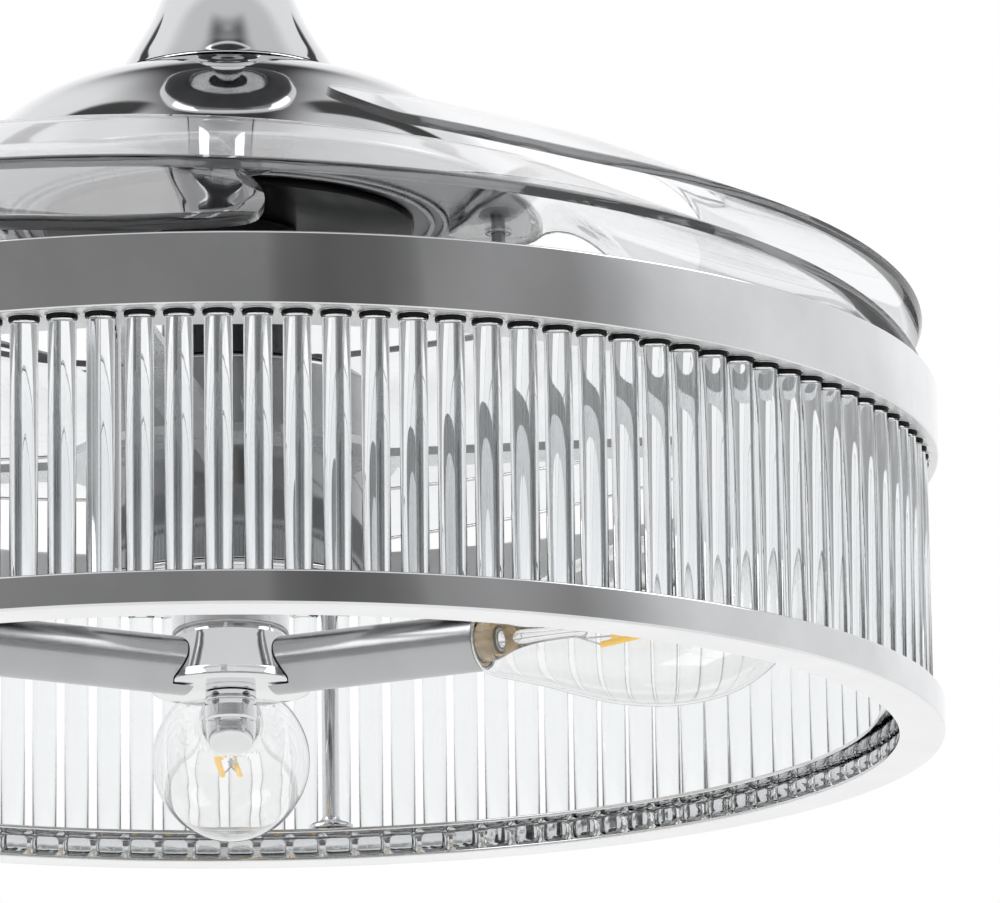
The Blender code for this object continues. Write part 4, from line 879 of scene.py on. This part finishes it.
@dataclass
class TurningPlates(Assembly):
    """Plates, gears and springs that turn with the dome."""

    body: Body = Body.ROTOR
    plate_radius: float = 0.1077
    plate_split: float = 0.0780
    plate_bore: float = 0.058
    plate_bottom_mm: float = 67.5
    plate_thickness: float = 0.0025
    hub_hole: float = 0.005
    rib_radii: tuple[float, ...] = (0.0725, 0.0774)
    rib_half: Pair = (0.0011, 0.0009)
    rib_depth: float = 0.0011
    mirror_radius: float = 0.066
    mirror_bore: float = 0.0122
    mirror_bottom_mm: float = 64.9
    mirror_thickness: float = 0.0023

    def cut_hubs(self, item: bpy.types.Object) -> None:
        """Cut the hole for each blade's hub."""
        low = self.plate_bottom_mm
        cut_out(item, pivot_holes(self.hub_hole, low - 2.0, low + 5.0, BLADE_HEADINGS_DEG))

    def flat_ring(self, inner: float, outer: float) -> Solid:
        """Ring of the blade plate between two radii."""
        low = height(self.plate_bottom_mm)
        return lathe(band(inner, outer, low, low + self.plate_thickness, (0.0, 0.0006, 0.0004, 0.0)), 192)

    def build(self) -> None:
        """Build the plates and dress the gears."""
        low = height(self.mirror_bottom_mm)
        mirror = band(self.mirror_bore, self.mirror_radius, low, low + self.mirror_thickness,
                      (0.0006, 0.0012, 0.0004, 0.0004))
        self.put("mirror_disc_round", lathe(mirror, 192), BLACK_MIRROR, "mirror_disc")
        ribs = []
        (wide, narrow), low = self.rib_half, height(self.plate_bottom_mm)
        root, crest = low + SEAT_GAP, low - self.rib_depth
        for radius in self.rib_radii:
            ribs.append(lathe(rounded(((radius - wide, root, 0.0), (radius - narrow, crest, 0.0006),
                                       (radius + narrow, crest, 0.0006), (radius + wide, root, 0.0))), 192))
        # Ribs and rim are chrome with painted shade; the web has painted deep shade.
        self.put("plate_ribs", joined(ribs), SHADED_PLATE_CHROME)
        self.put("blade_plate_web", self.flat_ring(self.plate_bore, self.plate_split), DEEP_SHADE_CHROME)
        self.put("blade_plate_rim", self.flat_ring(self.plate_split, self.plate_radius), SHADED_PLATE_CHROME, "blade_plate",
                 shape=self.cut_hubs)
        self.bench.dress(GREY_CAST, "blade_carrier", "hub_spool")
        self.bench.dress(SPRING_STEEL, "return_spring")
        self.bench.dress(STEEL, "sync_ring", "blade_gear_1", "blade_gear_2", "blade_gear_3", "blade_gear_4")


@dataclass
class Blades(Assembly):
    """Four clear curved blades, folded over the drum."""

    outer_radius: float = 0.245
    thickness: float = 0.003
    root_radius: float = 0.018
    level_mm: float = 65.4
    slope: float = 0.47
    flat_reach: float = 0.014
    flat_to_slope: float = 0.038
    cap_mm: float = 6.0
    rim_start_mm: float = 1.5
    rim_climb_mm: float = 0.165
    rim_lifts: tuple[Point, ...] = ((7.0, 0.0, 55.0), (5.0, 150.0, 24.0), (4.0, 166.0, 8.0))
    hole_radius: float = 0.0047
    hole_reach_mm: float = 6.0
    edge_soften: float = 0.0011
    edge_sharp_deg: float = 60.0
    squares_across: int = 12
    heel_deg: tuple[float, ...] = (100.0, 50.0, 0.0)
    root_inner_deg: tuple[float, ...] = (150.0, 195.0)
    outer: Shares = (
        (0.517, 1.8), (0.591, -1.2), (0.724, -3.3), (0.848, -3.1), (0.939, -1.0), (0.99, 5.5), (1.0, 13.0),
        (1.0, 27.0), (1.0, 42.0), (1.0, 58.0), (1.0, 74.0), (1.0, 90.0), (1.0, 106.0), (1.0, 121.0), (1.0, 135.0),
        (1.0, 148.0), (1.0, 158.0), (0.997, 165.0), (0.983, 168.3), (0.955, 171.0))
    tip: Pair = (0.931, 171.8)
    inner: Shares = (
        (0.349, 14.0), (0.397, 26.0), (0.504, 37.0), (0.579, 42.5), (0.628, 48.0), (0.657, 54.0), (0.678, 60.0),
        (0.69, 70.0), (0.694, 81.0), (0.694, 92.0), (0.694, 103.0), (0.696, 114.0), (0.698, 124.0), (0.702, 134.0),
        (0.715, 143.0), (0.731, 150.5), (0.76, 157.5), (0.798, 163.5), (0.851, 168.2), (0.905, 171.3))

    def spot(self, share: float, angle_deg: float) -> Pair:
        """Point of the outline from a share of the outer radius and a clockwise angle."""
        angle = math.radians(-angle_deg)
        return self.outer_radius * share * math.cos(angle), self.outer_radius * share * math.sin(angle)

    def root_spot(self, angle_deg: float) -> Pair:
        """Point on the round root."""
        angle = math.radians(angle_deg)
        return BLADE_PIVOT + self.root_radius * math.cos(angle), self.root_radius * math.sin(angle)

    def level(self, x: float, y: float) -> float:
        """World height of the blade's middle surface.

        Args:
            x: Place along the line through the pivot.
            y: Place across it.

        Returns:
            Height in metres.
        """
        angle = -math.degrees(math.atan2(y, x))
        if angle < -90.0:
            angle += 360.0
        rim = self.rim_start_mm + self.rim_climb_mm * angle
        for lift, start, span in self.rim_lifts:
            rim += lift * step_up((angle - start) / span)
        sloped = rim + self.slope * (self.outer_radius - math.hypot(x, y)) * 1000.0
        lead = min(max((1.0 + (self.level_mm - sloped) / self.cap_mm) / 2.0, 0.0), 1.0)
        capped = self.level_mm + (sloped - self.level_mm) * lead - self.cap_mm * lead * (1.0 - lead)
        blend = step_up((math.hypot(x - BLADE_PIVOT, y) - self.flat_reach) / self.flat_to_slope)
        return height(self.level_mm * (1.0 - blend) + capped * blend)

    def sheet(self) -> Solid:
        """Middle surface of a blade, in squares between its two long edges.

        Returns:
            Vertices and faces.
        """
        start = self.root_spot(self.heel_deg[0])
        outer = [self.root_spot(angle) for angle in self.heel_deg[1:]] + [self.spot(*share) for share in self.outer]
        inner = [self.root_spot(angle) for angle in self.root_inner_deg] + [self.spot(*share) for share in self.inner]
        loop = curve_through([start] + outer + [self.spot(*self.tip)] + inner[::-1], 8, True)
        half, across = len(loop) // 2, self.squares_across
        vertices: list[Point] = []
        faces: list[tuple[int, ...]] = []
        for index in range(half + 1):
            first, second = Vector(loop[index]), Vector(loop[-index % len(loop)])
            for step in range(across + 1):
                spot = first.lerp(second, step / across)
                vertices.append((spot.x, spot.y, self.level(spot.x, spot.y)))
        for index in range(half):
            for step in range(across):
                base = index * (across + 1) + step
                faces.append((base, base + 1, base + across + 2, base + across + 1))
        return vertices, faces

    def thicken(self, item: bpy.types.Object) -> None:
        """Give the sheet its thickness, soft edges and pivot hole.

        Args:
            item: Blade that is still a bare surface.
        """
        work = bmesh.new()
        work.from_mesh(item.data)
        bmesh.ops.dissolve_degenerate(work, dist=1e-5, edges=work.edges)
        work.to_mesh(item.data)
        work.free()
        solid = item.modifiers.new("wall", "SOLIDIFY")
        solid.thickness = self.thickness
        solid.offset = 0.0
        edge = item.modifiers.new("edge", "BEVEL")
        edge.width = self.edge_soften
        edge.segments = 3
        edge.limit_method = "ANGLE"
        edge.angle_limit = math.radians(self.edge_sharp_deg)
        bake_down(item)
        low, high = self.level_mm - self.hole_reach_mm, self.level_mm + self.hole_reach_mm
        cut_out(item, pivot_holes(self.hole_radius, low, high, (-FRONT_DEG,)))

    def build(self) -> None:
        """Build the four blades."""
        sheet = self.sheet()
        for number, heading in enumerate(BLADE_HEADINGS_DEG, 1):
            # Upright edge faces take acrylic with painted shade and reflection.
            item = self.bench.place(f"blade_sheet_{number}", sheet, ACRYLIC, Body[f"BLADE_{number}"],
                                    [f"blade_{number}"], 50.0, self.thicken, (SHADED_ACRYLIC_EDGE, is_edge))
            item.data.transform(at_heading(heading))


@dataclass
class LampHousing(Assembly):
    """Bright canister, its base, the black neck and the arms that carry the drum."""

    radius: float = 0.049
    wall: float = 0.002
    top_mm: float = 10.0
    bottom_mm: float = -64.0
    base_top_mm: float = -64.3
    base_bottom_mm: float = -66.4
    bore: float = 0.0083
    neck_radius: float = 0.024
    neck_wall: float = 0.002
    neck_top_mm: float = 64.3

    def build(self) -> None:
        """Build the canister and dress the arms."""
        top, bottom, inner = height(self.top_mm), height(self.bottom_mm), self.radius - self.wall
        roof = top - self.wall
        can = rounded(((self.bore, top, 0.0), (self.radius, top, 0.003), (self.radius, bottom, 0.0005),
                       (inner, bottom, 0.0004), (inner, roof, 0.002), (self.bore, roof, 0.0)), 5)
        # The canister is chrome with painted shade.
        self.put("housing_canister", lathe(can, 128), SHADED_CANISTER_CHROME, "light_housing")
        base = band(0.0, self.radius, height(self.base_top_mm), height(self.base_bottom_mm),
                    (0.0, 0.0004, 0.0012, 0.0), 4)
        self.put("housing_base_disc", lathe(base, 128), CHROME, "housing_base")
        neck = band(self.neck_radius - self.neck_wall, self.neck_radius, top + SEAT_GAP, height(self.neck_top_mm),
                    (0.0, 0.0008, 0.0008, 0.0))
        self.put("neck_tube", lathe(neck, 96), BLACK_GLOSS, "neck_sleeve")
        self.bench.dress(PRESSED_STEEL, "drum_spider")
        self.bench.dress(STEEL, "shaft_nut")


@dataclass
class Drum(Assembly):
    """Two bright rings with clear rods, caps, feet and posts between them."""

    radius: float = 0.250
    wall: float = 0.002
    upper_top_mm: float = 0.0
    upper_bottom_mm: float = -24.1
    upper_lip: float = 0.222
    lower_top_mm: float = -110.7
    lower_bottom_mm: float = -122.4
    lower_lip: float = 0.2338
    sheet: float = 0.0015
    ledge: float = 0.0014
    rod_circle: float = 0.2415
    rod_radius: float = 0.0046
    rod_count: int = 120
    rod_sides: int = 28
    rod_start_deg: float = -15.83
    rod_top_mm: float = -25.9
    seat_top_mm: float = -111.0
    seat_bottom_mm: float = -112.5
    seat_inner: float = 0.2275
    seat_outer: float = 0.2475
    cap_radius: float = 0.0052
    cap_height: float = 0.0015
    eyelet_width: float = 0.0005
    foot: Point = (0.0085, 0.0100, 0.0072)
    foot_soften: float = 0.0022
    post_circle: float = 0.2305
    post_sides: int = 32
    post_radius: float = 0.0033
    post_bevel: float = 0.0004
    post_end_radius: float = 0.002
    post_end_length: float = 0.0091
    post_start_deg: float = -9.5
    post_top_mm: float = -23.6
    post_foot: tuple[Point, ...] = ((0.0045, 0.0085, 0.0), (0.0045, 0.0085, 0.0012), (0.0041, 0.0074, 0.0020),
                                    (0.0036, 0.0050, 0.0025), (0.0033, 0.0036, 0.0034), (0.0033, 0.0033, 0.0046))

    def put_at_rods(self, name: str, solid: Solid, finish: Finish, *replaces: str) -> None:
        """Place copies of a solid at every rod, as one piece.

        Args:
            name: Name of the piece.
            solid: What stands at each rod, built round Z.
            finish: Its finish.
            replaces: CAD nodes that it stands for.
        """
        headings = [self.rod_start_deg + 360.0 * index / self.rod_count for index in range(self.rod_count)]
        copies = joined([moved(solid, at_heading(heading, self.rod_circle)) for heading in headings])
        self.put(name, copies, finish, *replaces)

    def build_rings(self) -> None:
        """Upper and lower ring with rolled edges."""
        inner = self.radius - self.wall
        top, low = height(self.upper_top_mm), height(self.upper_bottom_mm)
        back = low + self.sheet
        upper = rounded(((self.radius, top, 0.0008), (self.radius, low, 0.0007), (self.upper_lip, low, 0.0004),
                         (self.upper_lip, back, 0.0004), (inner, back, 0.001), (inner, top, 0.0008)), 4)
        # Faces that look down or inwards take chrome with painted light.
        self.put("drum_upper_ring", lathe(upper, 360), RING_CHROME, "upper_ring",
                 second=(LIT_UNDERSIDE_CHROME, looks_down_or_inwards))
        top, low = height(self.lower_top_mm), height(self.lower_bottom_mm)
        back, shelf = low + self.sheet, height(self.seat_bottom_mm) - SEAT_GAP
        lower = rounded(((self.radius, top, 0.0008), (self.radius, low, 0.0014), (self.lower_lip, low, 0.0005),
                         (self.lower_lip, back, 0.0005), (inner, back, 0.0008), (inner, shelf - self.ledge, 0.0),
                         (inner - self.ledge, shelf, 0.0003), (inner, shelf, 0.0), (inner, top, 0.0006)), 4)
        # Faces that look down take chrome with painted light.
        self.put("drum_lower_ring", lathe(lower, 360), RING_CHROME, "lower_ring", second=(LIT_UNDERSIDE_CHROME, looks_down))

    def build_rods(self) -> None:
        """Rods, their seat, black caps, eyelets and clear feet."""
        low, high, sides = height(self.seat_top_mm), height(self.rod_top_mm), self.rod_sides
        rod = band(0.0, self.rod_radius, low, high, (0.0, 0.0004, 0.0005, 0.0), 2)
        self.put_at_rods("clear_rods", lathe(rod, sides), ROD_GLASS, "glass_rods")
        seat_low = height(self.seat_bottom_mm)
        seat = band(self.seat_inner, self.seat_outer, seat_low, low - 0.0001, (0.0003, 0.0003, 0.0003, 0.0005))
        self.put("rod_seat_ring", lathe(seat, 360), RING_CHROME)
        brim, start = high + self.cap_height, high + 0.0001
        reach, neck = self.cap_radius, self.cap_radius - 0.0002
        cap = rounded(((0.0, start, 0.0), (neck, start, 0.0004), (reach, brim - 0.0004, 0.0003), (neck, brim, 0.0002),
                       (0.0, brim, 0.0)), 2)
        self.put_at_rods("rod_caps", lathe(cap, sides), BLACK_RUBBER)
        eyelet = band(reach - 0.0001, reach + self.eyelet_width, brim - 0.0002, brim + 0.0001,
                      (0.0, 0.0001, 0.0, 0.0), 2)
        self.put_at_rods("rod_eyelets", lathe(eyelet, sides), CHROME)
        middle = seat_low - 0.0002 - self.foot[2] / 2
        foot = moved(soft_block(self.foot, self.foot_soften), Matrix.Translation((0.0, 0.0, middle)))
        self.put_at_rods("rod_feet", foot, FOOT_GLASS)

    def build_posts(self) -> None:
        """Four round posts, each on an oval foot."""
        low, high = height(self.seat_top_mm) + SEAT_GAP, height(self.post_top_mm)
        rings = [oval(half_x, half_y, low + up, self.post_sides) for half_x, half_y, up in self.post_foot]
        for radius, up in ((self.post_radius, high - self.post_bevel), (self.post_radius - self.post_bevel, high),
                           (self.post_end_radius, high), (self.post_end_radius, high + self.post_end_length)):
            rings.append(oval(radius, radius, up, self.post_sides))
        post = loft(rings)
        for number in range(1, 5):
            way = at_heading(self.post_start_deg + 90.0 * (number - 1), self.post_circle)
            self.put(f"drum_post_{number}", moved(post, way), CHROME, f"tie_post_{number}")

    def build(self) -> None:
        """Build the whole drum."""
        self.build_rings()
        self.build_rods()
        self.build_posts()


@dataclass
class LampArms(Assembly):
    """Hub with three sleeves, sockets and bulbs, and the finial under it."""

    hub_top_mm: float = -66.7
    hub_height: float = 0.0353
    skirt_radius: float = 0.0285
    hub_shares: Shares = ((0.726, 0.0), (0.726, 0.2), (0.728, 0.43), (0.77, 0.55), (0.86, 0.71), (0.965, 0.88))
    skirt: tuple[Point, ...] = ((0.965, 0.0042, 0.0), (1.0, 0.0016, 0.0007), (0.97, 0.0, 0.0009), (0.0, 0.0, 0.0))
    end_zones: Pair = (0.0001, 0.03)
    axis_mm: float = -94.4
    headings_deg: tuple[float, ...] = (60.0, 180.0, -60.0)
    stub_radius: float = 0.005
    stub_start: float = 0.015
    stub_end: float = 0.0345
    sleeve_start: float = 0.0305
    saddle_start: float = 0.0185
    saddle_gap: float = 0.0005
    sleeve_end: float = 0.101
    sleeve_radius: float = 0.01025
    sleeve_wall: float = 0.001
    socket_length: float = 0.026
    socket_wall: float = 0.0019
    bulb_start: float = 0.1013
    bulb_length: float = 0.116
    bulb_radius: float = 0.0296
    glass_wall: float = 0.0007
    bulb_shares: Shares = ((0.36, 0.0), (0.43, 0.03), (0.61, 0.19), (0.76, 0.30), (0.90, 0.42), (0.978, 0.54),
                           (0.997, 0.635), (0.955, 0.745), (0.85, 0.835), (0.66, 0.92), (0.46, 0.965), (0.22, 0.992),
                           (0.0, 1.0))
    stem: Shares = ((0.0072, -0.002), (0.0070, 0.004), (0.0042, 0.012), (0.0026, 0.022), (0.0024, 0.034),
                    (0.0030, 0.038), (0.0, 0.040))
    wire_spots: tuple[Point, ...] = ((0.0035, 0.0, 0.036), (0.0066, 0.5, 0.046), (0.0045, 0.0, 0.080))
    middle_wire: tuple[float, ...] = (0.038, 0.060, 0.083)
    wire_bend: float = 0.6
    wire_radius: float = 0.0003
    middle_wire_radius: float = 0.0004
    filament_radius: float = 0.0011
    cap_rows: int = 44
    cap_sides: int = 40
    cap_radius: float = 0.0068
    cap_end_radius: float = 0.0058
    cap_ends: Pair = (0.0220, 0.0004)
    thread_depth: float = 0.00035
    thread_pitch: float = 0.0042
    thread_span: Pair = (0.08, 0.86)
    cap_end_share: float = 0.03
    finial_top_mm: float = -102.3
    finial_neck: tuple[Point, ...] = ((0.0, 0.0, 0.0), (0.009, 0.0, 0.0004), (0.009, 0.0028, 0.0002),
                                      (0.0084, 0.0031, 0.0002), (0.009, 0.0034, 0.0002), (0.009, 0.0094, 0.0006),
                                      (0.00837, 0.0099, 0.0))
    finial_knob: Shares = ((0.00864, 0.0106), (0.00873, 0.0128), (0.0081, 0.0171), (0.00666, 0.0202),
                           (0.00378, 0.0214), (0.0, 0.0215))

    def hub_body(self, grown: float = 0.0) -> Solid:
        """Turned body of the hub.

        Args:
            grown: Clearance that it is grown by all round.

        Returns:
            Vertices and faces.
        """
        rim, top = self.skirt_radius, height(self.hub_top_mm)
        low = top - self.hub_height
        side = profile(self.hub_shares, rim, top, -self.hub_height, 6)
        skirt = rounded([(share * rim, low + up, soften) for share, up, soften in self.skirt])
        wide = []
        for radius, up in [(0.0, top)] + side + skirt:
            ends = int(up > low + self.end_zones[1]) - int(up < low + self.end_zones[0])
            wide.append((radius + grown if radius else 0.0, up + grown * ends))
        return lathe(wide, 128)

    def build_hub(self) -> None:
        """Turned hub with its stubs, and the finial."""
        stub = lathe(band(0.0, self.stub_radius, self.stub_start, self.stub_end, (0.0, 0.0, 0.0005, 0.0), 2), 48)
        stubs = [moved(stub, pointing(heading, height(self.axis_mm))) for heading in self.headings_deg]
        self.put("lamp_hub_turned", joined([self.hub_body()] + stubs), CHROME, "lamp_hub")
        high = height(self.finial_top_mm)
        neck = rounded([(across, high - down, soften) for across, down, soften in self.finial_neck])
        knob = profile(self.finial_knob, 1.0, high, -1.0, 5)
        self.put("finial_knob", lathe(neck + knob, 96), CHROME, "finial")

    def bulb_shell(self) -> Solid:
        """Thin glass shell of a bulb, built along Z from the arm's axis."""
        outer = profile(self.bulb_shares, self.bulb_radius, self.bulb_start, self.bulb_length, 5)
        return shell(outer, -self.glass_wall, 96, {-1: (0.0, outer[-1][1] - self.glass_wall)})

    def bulb_inside(self) -> tuple[Solid, Solid, Solid]:
        """Inner parts of a bulb, built along Z from the arm's axis.

        Returns:
            Glass stem, support wires and filaments.
        """
        start = self.bulb_start
        line = [Vector((0.0, 0.0, start + up)) for up in self.middle_wire]
        wires, sticks = [], []
        for index in range(4):
            turn = math.radians(45.0 + 90.0 * index)
            low, foot, head = (Vector((reach * math.cos(turn + lead), reach * math.sin(turn + lead), start + up))
                               for reach, lead, up in self.wire_spots)
            wires += [wire([low, low.lerp(foot, 0.5), foot], self.wire_radius, 8),
                      wire([head, head.lerp(line[-1], self.wire_bend), line[-1]], self.wire_radius, 8)]
            sticks.append(wire([foot, foot.lerp(head, 0.5), head], self.filament_radius, 12))
        wires.append(wire(line, self.middle_wire_radius, 8))
        return lathe(profile(self.stem, 1.0, start, 1.0, 5), 32, False), joined(wires), joined(sticks)

    def screw_cap(self) -> Solid:
        """Threaded metal cap of a bulb, built along Z from the arm's axis.

        Returns:
            Vertices and faces.
        """
        rings = []
        low, high = (self.bulb_start - end for end in self.cap_ends)
        for step in range(self.cap_rows + 1):
            share = step / self.cap_rows
            up = low + (high - low) * share
            depth = self.thread_depth if self.thread_span[0] < share < self.thread_span[1] else 0.0
            ring = []
            for turn in range(self.cap_sides):
                angle = math.tau * turn / self.cap_sides
                wave = depth * math.sin(math.tau * up / self.thread_pitch - angle)
                radius = (self.cap_end_radius if share < self.cap_end_share else self.cap_radius) + wave
                ring.append((radius * math.cos(angle), radius * math.sin(angle), up))
            rings.append(ring)
        return loft(rings)

    def build_lamps(self) -> None:
        """Sleeve, socket and bulb on each arm."""
        outer, inner = self.sleeve_radius, self.sleeve_radius - self.sleeve_wall
        end, back = self.sleeve_end, self.sleeve_start + self.sleeve_wall
        bore = self.stub_radius + SEAT_GAP
        sleeve = rounded(((bore, self.saddle_start, 0.0), (outer, self.saddle_start, 0.0), (outer, end, 0.0005),
                          (inner, end, 0.0004), (inner, back, 0.0008), (bore, back, 0.0)), 4)
        socket = band(inner - self.socket_wall, inner - SEAT_GAP, end - self.socket_length, end - 0.0004,
                      (0.0002, 0.0003, 0.0005, 0.0005))
        saddle, glass = self.hub_body(self.saddle_gap), self.bulb_shell()
        stem, wires, sticks = self.bulb_inside()
        fittings = (("cap", self.screw_cap(), BRASS), ("stem", stem, BULB_GLASS), ("wires", wires, STEEL),
                    ("filaments", sticks, PHOSPHOR))
        for number, heading in enumerate(self.headings_deg, 1):
            way = pointing(heading, height(self.axis_mm))
            self.put(f"arm_sleeve_{number}", moved(lathe(sleeve, 96), way), SATIN_CHROME, f"lamp_sleeve_{number}",
                     shape=lambda item: cut_out(item, saddle))
            self.put(f"arm_socket_{number}", moved(lathe(socket, 64), way), BRASS, f"lamp_socket_{number}")
            self.put(f"bulb_shell_{number}", moved(glass, way), BULB_GLASS, f"bulb_{number}", sharp_deg=60.0)
            for name, solid, finish in fittings:
                self.put(f"bulb_{name}_{number}", moved(solid, way), finish)

    def build(self) -> None:
        """Build the hub and the lamps."""
        self.build_hub()
        self.build_lamps()


@dataclass
class Studio:
    """Camera, floor, soft lamps and surroundings.

    A rise is the span of a direction's height, from -1 straight down to 1 straight up, over which a tone fades in.
    The ring's stops hold a heading in degrees and the brightness there.
    """

    camera_place: Point = (0.0, -2.47488, -0.95947)
    pitch_deg: float = 12.934
    yaw_deg: float = 2.2126
    roll_deg: float = 0.74366
    lens: float = 258.377
    floor_level: float = -9.0
    floor_half: float = 40.0
    lamps: tuple[tuple[str, Point, float], ...] = (("lamp_left", (-2.2, -1.2, 1.6), 16.0),
                                                   ("lamp_right", (2.4, -0.6, 1.4), 14.0))
    lamp_size: float = 1.6
    lamp_aim: Point = (0.0, 0.0, -0.35)
    ring_stops: Shares = (
        (-180.0, 1.0), (-144.0, 1.0), (-120.0, 0.85), (-96.0, 0.8), (-76.0, 0.62), (-64.0, 0.4), (-44.0, 0.25),
        (-30.0, 0.23), (6.6, 0.225), (7.2, 0.155), (15.0, 0.115), (24.0, 0.14), (29.0, 0.19), (31.0, 0.26),
        (42.0, 0.32), (56.0, 0.27), (63.0, 0.38), (71.0, 0.62), (80.0, 0.76), (92.0, 0.80), (110.0, 0.76),
        (122.0, 0.83), (134.0, 0.93), (146.0, 1.0), (180.0, 1.0))
    upper_rise: Pair = (0.42, 0.62)
    upper_tone: Colour = (0.86, 0.86, 0.87)
    high_rise: Pair = (0.80, 0.90)
    high_tone: Colour = (0.62, 0.62, 0.63)
    lane_half: Pair = (0.28, 0.10)
    lane_depths: Shares = ((-0.24, -0.12), (0.80, 0.66))
    lane_rise: Pair = (0.5, 0.62)
    lane_tone: Colour = (0.045, 0.045, 0.047)
    strip_turns: Shares = ((0.760, 0.772), (0.826, 0.814))
    strip_rises: Shares = ((0.58, 0.64), (0.95, 0.92))
    strip_tone: Colour = (0.06, 0.06, 0.06)
    lower_rise: Pair = (-0.02, -0.12)
    lower_tone: Colour = (0.95, 0.95, 0.95)
    past_glass_rise: Pair = (0.42, 0.32)
    past_glass_share: float = 0.9
    past_glass_tone: Colour = (0.97, 0.975, 0.98)
    metal_share: float = 0.8

    def build_camera(self) -> None:
        """Camera at the photograph's viewpoint."""
        pitch, yaw, roll = (math.radians(angle) for angle in (self.pitch_deg, self.yaw_deg, self.roll_deg))
        aim = Matrix.Rotation(-yaw, 4, "Z") @ Matrix.Rotation(math.pi / 2 + pitch, 4, "X")
        data = bpy.data.cameras.new("camera")
        data.lens = self.lens
        data.sensor_width = 36.0
        data.clip_start = 0.05
        data.clip_end = 60.0
        camera = linked("camera", data)
        camera.matrix_world = Matrix.Translation(self.camera_place) @ aim @ Matrix.Rotation(-roll, 4, "Z")
        bpy.context.scene.camera = camera

    def build_world(self) -> None:
        """Soft surroundings: white to the eye, with darker parts of a room for metal and glass to show."""
        world = bpy.data.worlds.new("surroundings")
        bpy.context.scene.world = world
        world.use_nodes = True
        graph = Graph(world.node_tree)
        where = graph.node("ShaderNodeTexCoord", {}, {}, "Generated")
        split = graph.node("ShaderNodeSeparateXYZ", {}, {0: where}, "X")
        x, y, z = (split.output(name) for name in "XYZ")
        turn = x.maths("ARCTAN2", x, y * -1.0) * (0.5 / math.pi) + 0.5
        stops = [((place + 180.0) / 360.0, (tone, tone, tone * 1.01)) for place, tone in self.ring_stops]
        round_tone = graph.node("ShaderNodeValToRGB", {"stops": stops}, {"Fac": turn})
        width = x.maths("ABSOLUTE", x, 0.0)
        upper = graph.blend(z.between(*self.upper_rise), round_tone, self.upper_tone)
        high = graph.blend(z.between(*self.high_rise), upper, self.high_tone)
        (near, far), (first, last) = self.lane_depths, self.strip_turns
        lane = width.between(*self.lane_half) * y.between(*near) * y.between(*far) * z.between(*self.lane_rise)
        split_dark = graph.blend(lane, high, self.lane_tone)
        back = x.maths("ARCTAN2", width, y * -1.0) * (1.0 / math.pi)
        strip = back.between(*first) * back.between(*last)
        for rise in self.strip_rises:
            strip = strip * z.between(*rise)
        marked = graph.blend(strip, split_dark, self.strip_tone)
        lower = graph.blend(z.between(*self.lower_rise), marked, self.lower_tone)
        path = graph.node("ShaderNodeLightPath", {}, {}, "Is Camera Ray")
        metal_seen = path.output("Glossy Depth").above(0.5)
        past_glass = path.output("Transmission Depth").above(0.5) * (1.0 - metal_seen * self.metal_share)
        share = past_glass * z.between(*self.past_glass_rise) * self.past_glass_share
        paler = graph.blend(share, lower, self.past_glass_tone)
        seen = graph.blend(path.largest(path.output("Is Diffuse Ray")), paler, (1.0, 1.0, 1.0))
        background = graph.node("ShaderNodeBackground", {}, {"Color": seen, "Strength": 1.0})
        graph.node("ShaderNodeOutputWorld", {}, {"Surface": background})

    def build_floor(self) -> None:
        """Plain pale floor far below."""
        half, level = self.floor_half, self.floor_level
        mesh = bpy.data.meshes.new("floor")
        mesh.from_pydata([(-half, -half, level), (half, -half, level), (half, half, level), (-half, half, level)], [],
                         [(0, 1, 2, 3)])
        floor = linked("floor", mesh)
        made = bpy.data.materials.new("floor_white")
        made.use_nodes = True
        graph = Graph(made.node_tree)
        where = graph.node("ShaderNodeTexCoord", {}, {}, "Object")
        cloud = graph.node("ShaderNodeTexNoise", {}, {"Vector": where, "Scale": 1.5, "Detail": 2.0})
        graph.surface({"Base Color": graph.blend(cloud, (0.93, 0.93, 0.93), self.lower_tone), "Roughness": 0.8})
        mesh.materials.append(made)

    def build_lamps(self) -> None:
        """Two large soft lamps, high at the left and the right."""
        for name, place, power in self.lamps:
            data = bpy.data.lights.new(name, "AREA")
            data.energy = power
            data.size = self.lamp_size
            lamp = linked(name, data)
            lamp.location = place
            lamp.rotation_mode = "QUATERNION"
            lamp.rotation_quaternion = (Vector(self.lamp_aim) - Vector(place)).to_track_quat("-Z", "Y")

    def build(self) -> None:
        """Build the studio."""
        bpy.context.scene.view_settings.view_transform = "Standard"
        self.build_camera()
        self.build_world()
        self.build_floor()
        self.build_lamps()


def main() -> None:
    """Build every piece from the ceiling down, then the studio."""
    logging.basicConfig(level=logging.INFO, format="%(name)s: %(message)s")
    for item in list(bpy.data.objects):
        bpy.data.objects.remove(item, do_unlink=True)
    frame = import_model()
    bench = Bench(frame)
    for part in (CeilingMount(bench), Downrod(bench), Dome(bench), TurningPlates(bench), Blades(bench),
                 LampHousing(bench), Drum(bench), LampArms(bench)):
        part.build()
        LOG.info("%s is built", type(part).__name__)
    Studio().build()
    LOG.info("%d pieces", len(bench.made))


if __name__ == "__main__":
    main()
